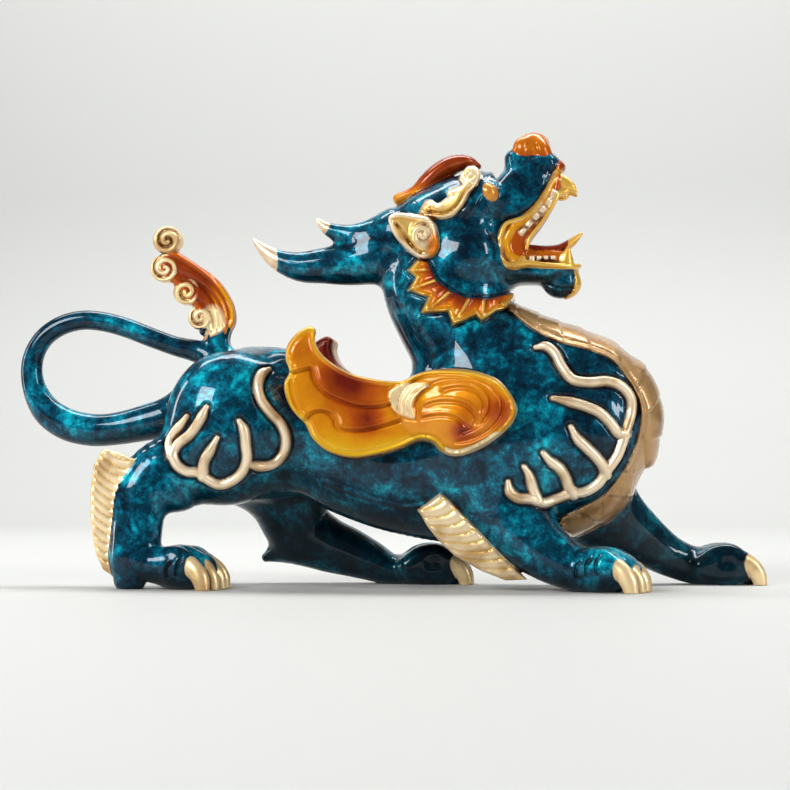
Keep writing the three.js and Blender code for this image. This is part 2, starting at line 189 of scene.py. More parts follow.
class Limb:
    """A rounded limb through stations [across, up, out, tall, wide] (half sizes).

    With `real` the first three are the place itself (x, z, y), not where the picture shows it.
    """

    def __init__(self, stations, blunt=1.0, spacing=2.5, real=False):
        stations = np.asarray(stations, float)
        if real:
            centres = stations[:, [0, 2, 1]]
        else:
            centres = seen(stations[:, 0], stations[:, 1], stations[:, 2])
        path = smooth_path(np.column_stack((centres, stations[:, 3:5])), spacing)
        centre = path[:, :3]
        tangent = unit(np.gradient(centre, axis=0))
        side = np.array((0.0, 1.0, 0.0)) - tangent * tangent[:, 1:2]
        side = unit(side)
        rise = np.cross(tangent, side)
        self.table = np.column_stack((centre, side, rise, tangent, path[:, 3:5])).astype(np.float32)
        self.chain = Chain(centre)
        self.last = len(centre) - 2
        self.blunt = blunt
        reach = path[:, 3:5].max(axis=1, keepdims=True)
        self.low = (centre - reach).min(axis=0)
        self.high = (centre + reach).max(axis=0)

    def distance(self, p):
        index, t, along = self.chain.nearest(p)
        here = self.table[index] * (1 - t)[:, None] + self.table[index + 1] * t[:, None]
        offset = p - here[:, 0:3]
        side = (offset * here[:, 3:6]).sum(axis=1)
        rise = (offset * here[:, 6:9]).sum(axis=1)
        ahead = (offset * here[:, 9:12]).sum(axis=1)
        at_end = ((index == 0) & (along < 0)) | ((index == self.last) & (along > 1))
        ahead = np.where(at_end, ahead, 0)
        tall = np.maximum(here[:, 12], 0.3)
        wide = np.maximum(here[:, 13], 0.3)
        reach = np.minimum(tall, wide) * self.blunt
        return ellipsoid_distance((rise, side, ahead), (tall, wide, reach))


class Ball:
    """An ellipsoid of half sizes long, wide and tall, its long axis tilted up and turned left."""

    def __init__(self, across, up, out, long, wide, tall, tilt=0.0, turn=0.0, square=False):
        self.square = square
        self.centre = seen(across, up, out).astype(np.float32)
        self.radii = (long, wide, tall)
        self.tilt = math.radians(tilt)
        self.turn = math.radians(turn)
        reach = max(self.radii)
        self.low = self.centre - reach
        self.high = self.centre + reach

    def distance(self, p):
        offset = p - self.centre
        c = math.cos(self.turn)
        s = math.sin(self.turn)
        ahead = offset[:, 0] * c + offset[:, 1] * s
        side = offset[:, 1] * c - offset[:, 0] * s
        c = math.cos(self.tilt)
        s = math.sin(self.tilt)
        forward = ahead * c + offset[:, 2] * s
        upward = offset[:, 2] * c - ahead * s
        parts = (forward, side, upward)
        if self.square:
            size = sum((v / r) ** 4 for v, r in zip(parts, self.radii)) ** 0.25
            return (size - 1) * min(self.radii)
        return ellipsoid_distance(parts, self.radii)


class Cords:
    """Round cords through 3-D points with a radius each."""

    thickest = 3.0

    def __init__(self, paths):
        self.chains = [Chain(path[:, :3]) for path in paths]
        self.radius = [path[:, 3].astype(np.float32) for path in paths]
        every = np.vstack(paths)[:, :3]
        self.low = every.min(axis=0) - self.thickest
        self.high = every.max(axis=0) + self.thickest

    def distance(self, p):
        best = np.full(len(p), FAR, np.float32)
        for chain, radius in zip(self.chains, self.radius):
            index, t, _ = chain.nearest(p)
            run = chain.rate[index] * chain.length2[index, None]
            centre = chain.start[index] + run * t[:, None]
            reach = radius[index] * (1 - t) + radius[index + 1] * t
            best = np.minimum(best, np.linalg.norm(p - centre, axis=1) - reach)
        return best


class Track:
    """A line in the picture: distance to it, place along it and side (positive on its left)."""

    def __init__(self, points, spacing=1.2, smooth=True, closed=False):
        path = smooth_path(points, spacing, closed) if smooth else np.asarray(points, float)
        if closed and not smooth:
            path = np.vstack((path, path[:1]))
        self.path = path.astype(np.float32)
        self.chain = Chain(self.path)
        lengths = np.linalg.norm(np.diff(self.path, axis=0), axis=1)
        self.before = np.concatenate(([0], np.cumsum(lengths))).astype(np.float32)
        self.low = self.path.min(axis=0)
        self.high = self.path.max(axis=0)

    def measure(self, flat):
        index, t, _ = self.chain.nearest(flat)
        run = self.path[index + 1] - self.path[index]
        offset = flat - self.path[index] - run * t[:, None]
        distance = np.linalg.norm(offset, axis=1)
        place = self.before[index] + t * np.sqrt(self.chain.length2[index])
        left = run[:, 0] * offset[:, 1] - run[:, 1] * offset[:, 0]
        return distance, place, np.sign(left)

    def distance(self, flat):
        return self.measure(flat)[0]

    def fade(self, place, start, end):
        """1 along the line, falling to 0 over its first `start` and its last `end` mm."""
        return step(place, start) * step(self.before[-1] - place, end)

    def signed(self, flat):
        """Distance from a closed outline, negative inside."""
        distance = self.measure(flat)[0]
        a0, u0 = self.path[:-1].T
        a1, u1 = self.path[1:].T
        across = flat[:, :1]
        up = flat[:, 1:]
        crosses = (u0 > up) != (u1 > up)
        meet = a0 + (up - u0) * ((a1 - a0) / np.where(u1 == u0, 1e-6, u1 - u0))
        inside = (crosses & (across < meet)).sum(axis=1) % 2 == 1
        return np.where(inside, -distance, distance)


def near(shape, p, margin=FAR):
    low = np.asarray(shape.low) - margin
    high = np.asarray(shape.high) + margin
    return np.all((p > low) & (p < high), axis=1)


def away(shape, p):
    """Distance from a shape, or FAR where it is nowhere near."""
    distance = np.full(len(p), FAR, np.float32)
    close = near(shape, p)
    if close.any():
        distance[close] = shape.distance(p[close])
    return distance


def union(shapes, p, radius):
    total = away(shapes[0], p)
    for shape in shapes[1:]:
        total = blend(total, away(shape, p), radius)
    return total


def rolled_edge(track, flat, ridge=0.8, groove=0.9):
    """A feather's rolled lower edge: a ridge on its left side and a groove on its right."""
    distance, place, side = track.measure(flat)
    profile = relief(distance * side, (1.3, 1.1, ridge), (-0.5, 0.9, -groove))
    return profile * track.fade(place, 3, 3)


def spiral(flat, centre, pitch, turn, clockwise=1):
    """0 on a spiral line around `centre`, up to half the pitch between its turns."""
    angle = np.arctan2(flat[:, 1] - centre[1], flat[:, 0] - centre[0]) * clockwise / math.tau
    phase = from_spot(flat, centre) / pitch - angle - turn
    return np.abs(phase - np.round(phase)) * pitch


# Blue body: trunk, neck, head, horn, legs and tail
TRUNK = Limb(
    [
        [-97, 86, 0, 22, 18], [-82.5, 82.5, 0, 36, 27], [-67.5, 81.5, 0, 38.5, 30],
        [-52.5, 80.5, 0, 37.5, 29], [-37.5, 76.5, 0, 33.5, 27.5], [-17.5, 68, 0, 34, 28],
        [2.5, 63.5, 0, 37, 31], [22.5, 64.5, 0, 43, 34], [42.5, 69, 0, 48, 36.5], [62.5, 76, 0, 54, 38],
        [82.5, 77.5, 0, 51.5, 37], [102.5, 80.5, 0, 44, 34], [114, 82.5, 0, 34.5, 28],
        [122, 83.5, 0, 24, 20],
    ],
    blunt=0.45,
)
NECK = Limb(
    [
        [55, 84, 0, 36, 36], [45, 104, 0, 33, 33.5], [36.5, 121, 0, 29, 30.5], [30.5, 135, 0, 30, 28],
        [27, 147, 0, 32, 26.5], [25.5, 157, 0, 32, 26], [25, 167, 0, 28, 24],
    ]
)
BREAST = Limb(
    [[64, 127, 0, 9.5, 20], [84, 116, 0, 13.5, 27], [100, 107, 0, 16, 29], [112, 98, 0, 15, 27],
     [119, 87, 0, 12.5, 22]]
)
SHOULDER = Ball(51, 68, -18, 35, 22, 38)
HAUNCH = Ball(-84, 79, -17, 31, 22.5, 38)
RIGHT_HIND_LEG = Limb(
    [
        [-88, 70, -16, 26, 18], [-105, 60, -21, 19.5, 15], [-119, 56, -26, 15, 12],
        [-127, 46, -29, 13.5, 11], [-128.5, 32, -31, 12.8, 10.5], [-130, 16, -32, 12, 10.5],
        [-132, 4, -32, 8, 9],
    ]
)
ARCH_CORNER = Ball(-113.5, 46, -25, 13, 11, 8.5, -20)
RIGHT_HIND_INSTEP = Limb([[-132, 14, -32, 10, 9.5], [-120, 11.5, -33, 7.5, 10], [-108, 11, -33, 8.5, 11]])
LEFT_HIND_LEG = Limb(
    [
        [-66, 66, 14, 26, 17], [-54, 44, 20, 20, 14.5], [-46, 28, 25, 17.5, 12.5],
        [-35, 21.5, 27, 14.5, 11.5], [-22.5, 17, 28, 12.5, 11], [-12.5, 13, 28, 10.5, 11],
        [-2.5, 8.7, 28, 8.3, 10.5], [8, 7.5, 28, 7.5, 10.5],
    ]
)
LEFT_HOCK = Limb([[-46, 24, 26, 12, 9], [-57, 18, 26, 7, 6], [-64, 14.5, 26, 2.5, 3]])
RIGHT_FRONT_LEG = Limb(
    [
        [47, 54, -18, 26, 17], [58, 34, -25, 19, 14.5], [74, 18, -31, 14, 12], [90, 9, -34, 11, 11.5],
        [104, 7, -35, 10, 12],
    ]
)
LEFT_FRONT_LEG = Limb(
    [
        [92, 52, 12, 28, 16], [104, 37, 22, 22, 14], [120, 26, 30, 14.5, 12], [137, 15, 37, 10.5, 10.5],
        [150, 10.5, 40, 9.5, 10.5], [164, 10.5, 41, 9.5, 11.5],
    ]
)
TAIL = Limb(
    [
        [-93, 93, 0, 17, 13], [-111.5, 85, 0, 10.8, 9.5], [-125, 81.5, 0, 9.2, 8.5],
        [-140, 78.5, 0, 8.3, 8], [-152, 78, 0, 8.3, 8], [-164.5, 81, 0, 8.2, 8],
        [-174.5, 88, 0, 7.4, 7.4], [-181, 100.5, 0, 5.8, 6], [-181.5, 113, 0, 5.3, 5.5],
        [-176.5, 123.5, 0, 5, 5.2], [-168, 130, 0, 5, 5], [-157.5, 133, 0, 5, 5],
        [-147.5, 132.5, 0, 5, 5], [-135.5, 129.5, 0, 5, 5], [-122.5, 124.5, 0, 5, 5],
        [-110, 120, 0, 5, 5.2], [-97.5, 117, 0, 6, 6], [-86, 113, 0, 8, 8],
    ]
)
SKULL = Limb(
    [
        [2, 177, 0, 12, 14], [12.5, 179, 0, 17, 20], [25, 183, 0, 19, 23.5], [36.5, 187, 0, 20, 23.5],
        [46.5, 192, 0, 16.5, 20.5], [56, 193.5, 0, 12, 17], [63.5, 201.5, 0, 11, 15],
        [71.5, 209, 0, 8.5, 13], [77, 211.5, 0, 6, 10.5],
    ]
)
JAW = Limb(
    [
        [40, 160, 0, 12, 19], [52, 158, 0, 9, 17], [64, 156.5, 0, 6, 14], [77.5, 156.5, 0, 5.5, 12],
        [87, 158, 0, 4, 9],
    ]
)
MUZZLE = Limb(
    [
        [54, 184, 0, 7, 15.5], [60, 185.8, 0, 7, 15], [66.6, 190.3, 0, 7, 14], [71, 196.5, 0, 7, 12.5],
        [74.5, 203.4, 0, 6.5, 11], [78, 209, 0, 5, 8.5],
    ]
)
MOUTH_CORNER = Ball(51.5, 176, 0, 8, 16, 11)
CHIN = Ball(83.5, 151.5, 0, 9.4, 9, 7.6)
CHEEK = Ball(37.5, 165.5, -10, 17.5, 18, 17.5)
NOSE_BACK = Ball(62, 212, 0, 6, 10, 8, 40)
HORN = Limb(
    [
        [5, 168, 0, 17, 13], [-8.5, 164, 0, 13, 11], [-22.5, 161, 0, 10.5, 9.5],
        [-35, 160.5, 0, 9.2, 8.5], [-47.5, 160, 0, 7.6, 7], [-59, 163.5, 0, 5.2, 5],
        [-66.5, 169, 0, 3, 3], [-71, 173.5, 0, 0.8, 0.8],
    ]
)
HORN_FORK = Limb(
    [
        [-2, 176, 0, 12, 11], [-17.5, 175.5, 0, 7, 7.5], [-25, 176.5, 0, 4.8, 5],
        [-32.5, 178.5, 0, 3.6, 3.6], [-36.5, 181, 0, 2.4, 2.4], [-39, 184, 0, 0.8, 0.8],
    ]
)
# Gold covers each prong inside a circle round its tip: (across, up, radius)
HORN_TIPS = ((-85, 163, 26), (-44, 184, 11.5))

# Paws: (across, out, turn outward in degrees), with the knuckles' middle at the given place
PAWS = {
    "right hind": (-105, -31, -15),
    "left hind": (19, 28, 10),
    "right front": (105, -33, -18),
    "left front": (164, 39, 8),
}
PAW_HEIGHT = 8.0
TOE_PLACES = (-1.5, -0.5, 0.5, 1.5)
TOE_GAP = 6.2
TOE_FAN = math.radians(5)
# How much shorter each toe is for every place it lies further out
TOE_STEP = 1.3
# Stations of a toe and of its claw: (ahead, height, tall, wide)
TOE = ((-11, 9, 6, 5), (-4, 14, 6, 4.6), (3, 15.5, 5.2, 4.2), (8, 12.5, 5, 4))
CLAW = (
    (6, 12.6, 3.2, 3.1), (10, 12, 4.2, 3.5), (14, 9.2, 4.4, 3.5), (16.8, 5, 4.2, 3.3),
    (18, 0.5, 3.4, 2.8),
)


class Paw:
    """A pad with four toes, each with a long rounded claw, fanned out a little."""

    margin = 10.0

    def __init__(self, across, out, turn):
        self.centre = np.array((seen(across, PAW_HEIGHT, out)[0], out))
        self.pad = Ball(across, PAW_HEIGHT, out, 17, 14, 10.5, turn=turn)
        angle = math.radians(turn)
        aside = np.array((-math.sin(angle), math.cos(angle)))
        self.toes = []
        self.claws = []
        for place in TOE_PLACES:
            aim = angle + TOE_FAN * place
            forward = np.array((math.cos(aim), math.sin(aim)))
            root = self.centre + TOE_GAP * place * aside - forward * TOE_STEP * abs(place)
            self.toes.append(self.finger(root, forward, TOE))
            self.claws.append(self.finger(root, forward, CLAW))
        self.low = self.pad.low - self.margin
        self.high = self.pad.high + self.margin

    @staticmethod
    def finger(root, forward, stations):
        placed = []
        for ahead, height, tall, wide in stations:
            x, y = root + forward * ahead
            placed.append([x, height, y, tall, wide])
        return Limb(placed, spacing=1.5, real=True)

    def distance(self, p):
        return blend(away(self.pad, p), union(self.toes, p, 0.8), 3)

    def claw_distance(self, p):
        return union(self.claws, p, 0.5)


PAW_SHAPES = {name: Paw(*place) for name, place in PAWS.items()}


def joined(total, p, shapes):
    """`total` with more shapes joined on, each given with the radius of its fillet."""
    for shape, radius in shapes:
        total = blend(total, away(shape, p), radius)
    return total


def bare_skin(p, folded):
    """The smooth blue body, and the distances that its zones need."""
    trunk = joined(away(TRUNK, p), p, ((NECK, 14), (BREAST, 8)))
    trunk = joined(trunk, folded, ((SHOULDER, 9), (HAUNCH, 9)))
    right_hind = joined(away(RIGHT_HIND_LEG, p), p, ((RIGHT_HIND_INSTEP, 4), (ARCH_CORNER, 6)))
    left_hind = joined(away(LEFT_HIND_LEG, p), p, ((LEFT_HOCK, 4),))
    legs = np.minimum(right_hind, left_hind)
    legs = np.minimum(legs, away(RIGHT_FRONT_LEG, p))
    legs = np.minimum(legs, away(LEFT_FRONT_LEG, p))
    legs = joined(legs, p, [(paw, 4) for paw in PAW_SHAPES.values()])
    horn = joined(away(HORN, p), p, ((HORN_FORK, 7),))
    head = joined(away(SKULL, p), folded, ((CHEEK, 5),))
    head = joined(head, p, ((MUZZLE, 4), (JAW, 5), (MOUTH_CORNER, 4), (CHIN, 3), (NOSE_BACK, 4)))
    whole = joined(blend(trunk, legs, 7), p, ((TAIL, 6),))
    whole = blend(blend(whole, head, 5), horn, 6)
    return whole, trunk, legs, head, horn


# Kinds of gold, from pale champagne through yellow to bronze
CHAMPAGNE = 0.0
PALE = 0.25
HONEY = 0.5
YELLOW = 0.75
BRONZE = 1.0

# Raised gold lines, [across, up] in the picture, laid on the skin of both sides
HAUNCH_LINES = [
    [(-63, 108.5), (-66.5, 106.5), (-68.5, 100.5), (-67, 93.5), (-62.5, 87), (-57, 81), (-54.5, 74),
     (-55.5, 66.5), (-60.5, 61), (-67, 59.5), (-74, 61)],
    [(-78, 82.5), (-75.5, 78), (-74.5, 70), (-74, 63), (-76.5, 56.5), (-82, 52), (-88, 50.5),
     (-93.5, 53), (-98.5, 56.5), (-104, 57), (-109, 60.5), (-111, 66), (-108.5, 71), (-102.5, 76),
     (-98, 82.5), (-94.5, 89.5)],
]
BREAST_LINES = [
    [(70.5, 119.5), (76, 120), (80.5, 116), (83.5, 110), (89, 103.5), (97.5, 102), (106.5, 102.5),
     (113.5, 100), (118, 94.5), (118.5, 87.5), (116.5, 80), (114, 72), (111, 64.5), (106, 57.5),
     (101.5, 51), (95, 47), (87.5, 46), (80.5, 43.5), (74, 41.5), (67.5, 43.5), (61.5, 44),
     (57.5, 47), (56.5, 52)],
]
# Their branches, each from its root to its tip
HAUNCH_BRANCHES = [
    [(-96, 54.5), (-95.5, 62), (-92, 68.5), (-89, 74)],
    [(-111.5, 65), (-112.8, 71.5), (-110.5, 76.5), (-107.5, 80.5), (-104.3, 84.8)],
]
BREAST_BRANCHES = [
    [(115.5, 76), (112, 76.5), (108.5, 81), (103, 86.5), (95.5, 90), (86.5, 92.5), (79, 94)],
    [(105.5, 55.5), (104.3, 59.5), (101, 64), (96, 69), (91, 74), (88, 79.5)],
    [(89, 45.5), (86.8, 49.5), (85.5, 53.5), (82.5, 58.5), (77.5, 62.5), (74, 66.5)],
    [(71.5, 42.5), (69, 48.5), (67, 55.5), (64.5, 59.5)],
]
LINE_RADIUS = 2.3
LINE_TAPER = 5.0
BRANCH_TAPER = 9.0
# A branch swells a little at its root, over some mm
ROOT_SWELL = 0.15
ROOT_LENGTH = 4.0
# Rays are cast from this far out on the right side, in steps of this much
DEEPEST = 60.0
RAY_STEP = 0.75
LINE_TRENCH = (0.7, 0.8, 0.9)
# Fillet between all that is laid on the skin
LAYER_FILLET = 1.4


def lay_on_skin(points, radius=LINE_RADIUS, taper=LINE_TAPER, rooted=False):
    """A picture line cast on the right side of the skin, thinner at its ends but not at its root."""
    flat = smooth_path(points, 1.5)
    depths = np.arange(-DEEPEST, -1, RAY_STEP)
    rays = seen(flat[:, None, 0], flat[:, None, 1], depths[None, :]).astype(np.float32).reshape(-1, 3)
    distance = bare_skin(rays, rays)[0].reshape(len(flat), -1)
    hits = distance < 0
    first = hits.argmax(axis=1)
    found = hits.any(axis=1) & (first > 0)
    rows = np.arange(len(flat))
    outer = distance[rows, first - 1]
    inner = distance[rows, first]
    depth = depths[first - 1] + RAY_STEP * outer / np.maximum(outer - inner, 1e-3)
    depth = np.interp(rows, rows[found], depth[found])
    for _ in range(3):
        depth[1:-1] = 0.25 * depth[:-2] + 0.5 * depth[1:-1] + 0.25 * depth[2:]
    centres = seen(flat[:, 0], flat[:, 1], depth)
    place = np.concatenate(([0], np.cumsum(np.linalg.norm(np.diff(centres, axis=0), axis=1))))
    to_tip = place[-1] - place
    ends = to_tip if rooted else np.minimum(place, to_tip)
    sizes = radius * (0.5 + 0.5 * step(ends, taper))
    if rooted:
        sizes *= 1 + ROOT_SWELL * np.exp(-place / ROOT_LENGTH)
    return np.column_stack((centres, sizes)).astype(np.float32)


def gold_lines(lines, branches):
    paths = [lay_on_skin(line) for line in lines]
    paths += [lay_on_skin(line, taper=BRANCH_TAPER, rooted=True) for line in branches]
    return Cords(paths)


HAUNCH_CORDS = gold_lines(HAUNCH_LINES, HAUNCH_BRANCHES)
BREAST_CORDS = gold_lines(BREAST_LINES, BREAST_BRANCHES)

# Plates down the throat, breast and belly: inner edge, and where along it each plate ends
PLATE_EDGE = Track(
    [(58.5, 137), (70, 128), (82.5, 122), (97.5, 118), (108.5, 113), (113.5, 108), (119, 99),
     (122.5, 90.5), (123, 83), (121, 73), (117, 63), (110.5, 53), (102.5, 44.5), (92.5, 39),
     (82.5, 34), (75.5, 28), (66, 20.5), (50, 17)]
)
PLATE_ENDS = np.array((-14, 4, 18, 32, 46, 62, 77, 90, 105, 119, 134, 150, 166, 182, 202))
# The plates slant, stand up by their lift and as much again towards their ends, and have a rim
PLATE_SLANT = 0.7
PLATE_LIFT = 0.7
PLATE_RIM = ((0.9, 0.8, 0.4), (2.4, 0.7, -0.5))

# Crease along the belly
BELLY_LINE = Track(
    [(-38, 53.5), (-30, 50), (-18.3, 46), (-6.5, 41.8), (5.4, 39.6), (14, 40.5), (21, 44)]
)
BELLY_CREASE = ((0, 0.7, 0.45), (1.8, 0.8, -0.35))

# Curved tufts, measured from the middle of a paw
PAW_TUFTS = [
    Track([(-10, 13), (-13.5, 10), (-14, 5.5), (-11.5, 2.5)]),
    Track([(-5, 15), (-8.5, 11), (-9, 6), (-7, 3)]),
    Track([(0, 17), (-3.5, 12.5), (-4, 7), (-2, 4)]),
]
TUFT_RELIEF = ((1.5, 1.0, 0.5), (0, 0.8, -0.9))
TUFT_REACH = 26.0
TUFT_HEIGHT = 24.0

# Collar of pointed locks
MANE_INNER = [(16.5, 162), (21, 153), (27.5, 148), (35, 144.5), (47.5, 144), (60, 147)]
MANE_OUTER = [
    (60, 144.5), (55, 138.5), (50.5, 137.5), (43.5, 132.5), (40.5, 135.5), (29.5, 130.5),
    (26.5, 137.5), (13, 136.5), (16.5, 144.5), (6.5, 148), (10.5, 154.5), (6, 158), (11.5, 163.5),
]
MANE = Track(MANE_INNER + MANE_OUTER, smooth=False, closed=True)
MANE_RIM = Track(MANE_OUTER, smooth=False)
MANE_CREASES = [
    Track([(8, 148.8), (20, 153)], smooth=False),
    Track([(17, 138.5), (27, 147)], smooth=False),
    Track([(30.5, 132.5), (37, 143.5)], smooth=False),
    Track([(44, 134.5), (44.5, 143)], smooth=False),
    Track([(8, 158.3), (15, 158.5)], smooth=False),
]
MANE_LIFT = 2.2
MANE_RIM_RELIEF = ((0.9, 1.0, 0.9), (3.0, 1.0, -0.5))
MANE_CREASE_RELIEF = ((0, 0.9, 1.0), (3, 1.6, -0.5))

# Open mouth in the picture: what lies between the lips is inside it
MOUTH = Track(
    [(83, 212), (78.5, 202), (73, 193), (64.5, 185.5), (57, 178), (55, 168), (58, 162.5), (70, 162.5),
     (84, 162), (95, 165), (100, 190), (95, 210)],
    smooth=False,
    closed=True,
)


class Slab:
    """A plate with a picture outline, from depth `inner` to `outer`, with rounded edges."""

    def __init__(self, outline, inner, outer, rounding, bend=None, smooth=True):
        self.outline = Track(outline, smooth=smooth, closed=True)
        self.edge = self.outline.signed
        self.middle = (inner + outer) / 2
        self.half = abs(outer - inner) / 2
        self.rounding = rounding
        self.bend = bend
        corners = seen(self.outline.path[:, 0], self.outline.path[:, 1], self.middle)
        self.low = corners.min(axis=0) - (3, self.half + 10, 3)
        self.high = corners.max(axis=0) + (3, self.half + 3, 3)

    def distance(self, p, edge, face=0):
        """`edge` is the distance from the outline, and `face` raises the outward face."""
        middle = self.middle + (self.bend(p) if self.bend else 0)
        return rounded(edge, np.abs(p[:, 1] - middle) - self.half - face, self.rounding)


# Wing
WING_OUTLINE = [
    (-42, 130), (-39.5, 128), (-40, 123), (-37.5, 117), (-31.5, 111.5), (-22.5, 106.5),
    (-12.5, 104), (-2.5, 102.5), (4, 102.8), (8.5, 105), (15, 107.5), (25, 108.5), (35, 108),
    (42.5, 106.5), (52, 102.3), (58.8, 93.7), (60.5, 88.5), (59.4, 83.5), (56, 79), (49, 73),
    (43.5, 69.5), (38, 67), (33, 65.5), (27.5, 65.5), (22.5, 68), (19, 71.8), (12.5, 73),
    (2.5, 69), (-7.5, 66), (-20, 64), (-27.5, 65), (-35, 68), (-41.5, 74), (-45, 81),
    (-48.5, 84.5), (-52.5, 89.5), (-55, 95.5), (-55.5, 101.5), (-53, 107), (-55, 114),
    (-54, 120.5), (-50, 126), (-46, 129),
]
FEATHER_EDGES = [
    Track([(-55.5, 106), (-47.5, 108), (-42, 109.3), (-40, 103), (-35, 97), (-27.5, 93),
           (-17.5, 90), (-7.5, 90), (-0.5, 92.5), (4, 96)]),
    Track([(-46, 81), (-44.5, 84.5), (-41.5, 87), (-37.5, 88), (-32.5, 86.5), (-29.7, 83),
           (-28.5, 79.5), (-17.5, 78), (-2.5, 81.5), (4.5, 84)]),
]
WING_RIM = Track([(-52, 105), (-51.5, 97), (-48.5, 88.5), (-44.5, 82.5)])
SWIRL_EDGES = [
    Track([(4.5, 100), (12.5, 104.5), (22.5, 105.8), (33.5, 105.3), (43.5, 103), (50.5, 98.5),
           (54, 92.5), (54, 86.5), (50.5, 80.5), (44.5, 75.5), (35.5, 72), (28.5, 71.5)]),
    Track([(11.5, 83.5), (10, 91), (14, 98.5), (22.5, 103), (32.5, 103.5), (40.5, 102), (46.5, 97.5),
           (48, 90.5), (46, 84), (41.5, 79.5), (31.5, 75)]),
    Track([(21.5, 97.5), (30, 99.5), (37.5, 99), (43, 95.5), (45, 90), (43, 85)]),
    Track([(13, 89.5), (20, 92), (27.5, 92.5), (34.5, 91), (39.5, 87), (41.5, 82.5), (38, 79)]),
    Track([(11.5, 83.5), (17.5, 85), (25, 85.5), (31, 84), (36, 79.5)]),
]
PETAL = Track(
    [(-2.8, 97.1), (1.5, 100.3), (6.6, 101.6), (12.5, 101.6), (17.5, 100.2), (13, 96.8), (9.8, 93),
     (8.6, 88.5), (10, 83.4), (5.8, 84.2), (1, 86.5), (-1.9, 90.2)],
    closed=True,
)
PETAL_EDGE = Track([(19, 100.5), (13.5, 97), (10, 93), (8.8, 88.5), (10.2, 82)])
PETAL_STRIPES = ((2.6, 0.5, -0.6), (5, 0.5, -0.6), (7.4, 0.5, -0.6))
SWIRL_CENTRE = (30.5, 88.0)
SWIRL_SIZE = (29.0, 20.5)
SWIRL_RISE = 5.5
WING_RIM_RELIEF = ((1.0, 0.9, 0.5), (2.6, 0.7, -0.7))


def wing_bend(p):
    """The wing curls outward behind, and leans outward towards its front."""
    behind = np.maximum(0, -p[:, 0] - 5) / 45
    before = np.maximum(0, p[:, 0] - 15)
    return -5 * behind**2 - 0.22 * before


WING = Slab(WING_OUTLINE, -25, -38, 3.0, wing_bend)
# Red glaze pools: (across, up, size, depth of colour)
WING_REDS = (
    (-22, 102, 13, 0.95), (-14, 83, 8, 0.85), (-47, 118, 9, 0.5), (-33, 105, 8, 0.5),
    (52, 87, 8, 0.75), (40, 75, 6, 0.4), (30, 95, 9, 0.3), (36, 88, 6, 0.5), (33, 77.5, 5, 0.9),
    (15, 87, 5, 0.45), (-5, 100, 8, 0.35),
)


def pools(flat, spots, base):
    """Depth of the amber glaze: `base`, and more or less of it round the spots."""
    hue = np.full(len(flat), base, np.float32)
    for across, up, size, depth in spots:
        hue += (depth - base) * hump(from_spot(flat, (across, up)), size)
    return np.clip(hue, 0, 1)


def wing_face(flat, edge):
    swirl = 1 - ((flat - SWIRL_CENTRE) ** 2 / np.square(SWIRL_SIZE)).sum(axis=1)
    face = SWIRL_RISE * np.sqrt(np.maximum(swirl, 0) + 0.02)
    carving = rolled_edge(WING_RIM, flat, 0.6, 0.9)
    for track in FEATHER_EDGES:
        carving += rolled_edge(track, flat, 1.0, 1.2)
        # The feather above its edge stands higher than the one below
        distance, place, side = track.measure(flat)
        carving += 1.3 * np.where(side > 0, np.exp(-distance / 9), 0) * track.fade(place, 4, 6)
    for track in SWIRL_EDGES:
        carving += rolled_edge(track, flat, 0.7, 1.1)
    # The petal covers the feather and swirl where they meet
    inside = -PETAL.signed(flat)
    cover = step(inside + 0.4, 1.2)
    petal = 1.2 + relief(PETAL_EDGE.distance(flat), *PETAL_STRIPES)
    face += carving * (1 - cover) + petal * cover - 0.5 * hump(inside + 0.7, 0.6)
    return face + relief(-edge, *WING_RIM_RELIEF)


# Head trim: all of it lies in this part of the statue
HEAD_LOW = 140.0
HEAD_BACK = -15.0
HEAD_FRONT = 105.0
NOSE = [Ball(69.2, 219.6, 0, 9.2, 8.8, 8.2, 20), Ball(64.8, 219, -5, 5.4, 5.4, 6.6, 10),
        Ball(73.4, 218, -4.5, 5.4, 6, 6.8, 20)]
NOSE_LINES = [
    Track([(64.5, 213.5), (65.2, 219), (67, 223.5)]),
    Track([(71.5, 212), (72.2, 217), (71, 222.5)]),
]
LIP_TIP = Ball(82, 210, 0, 4, 8, 3.6, 20)
EYE = Ball(47.4, 197.4, -17.5, 5.0, 4.4, 4.0, -55)
BROW = Slab(
    [
        (34.5, 208.7), (36, 210.4), (37.8, 211.1), (40, 211.1), (41.8, 210), (42.8, 207.1),
        (42, 203.1), (39.6, 200), (37, 197.4), (35.7, 194.4), (34.1, 191.3), (31.3, 188.1),
        (28.9, 185.8), (25, 184.5), (21, 184.4), (17.1, 185), (13.8, 185.8), (12.4, 187.7),
        (13.6, 190.4), (15.9, 192.9), (18.7, 193.3), (20.9, 191.6), (22.8, 192), (25.2, 193.9),
        (27, 195.6), (26.2, 197.6), (30.5, 199.8), (33.8, 201.8), (32.4, 204), (32.9, 206.4),
    ],
    -13,
    -26.2,
    2.2,
    lambda p: 0.3 * np.maximum(24 - p[:, 0], 0) + 0.6 * np.maximum(p[:, 2] - 193, 0),
)
BROW_CURL = (17.3, 189.6)
BROW_TOP = (36.8, 207.6)
BROW_EDGE = Track(
    [(16, 188.6), (21, 187.6), (26.5, 188.3), (31, 192), (33.8, 196.5), (36.5, 200.5), (39.5, 204)]
)
BROW_RIDGES = Cords(
    [
        lay_on_skin(
            [(44.2 + 1.7 * i, 206 - i), (43.6 + 1.7 * i, 202), (41.2 + 1.8 * i, 198 - 0.5 * i),
             (38.6 + 1.9 * i, 194 - i), (36.6 + 2 * i, 190 - i), (33.5 + 2 * i, 186.5 - i)],
            radius=1.0,
        )
        for i in (0, 1)
    ]
)
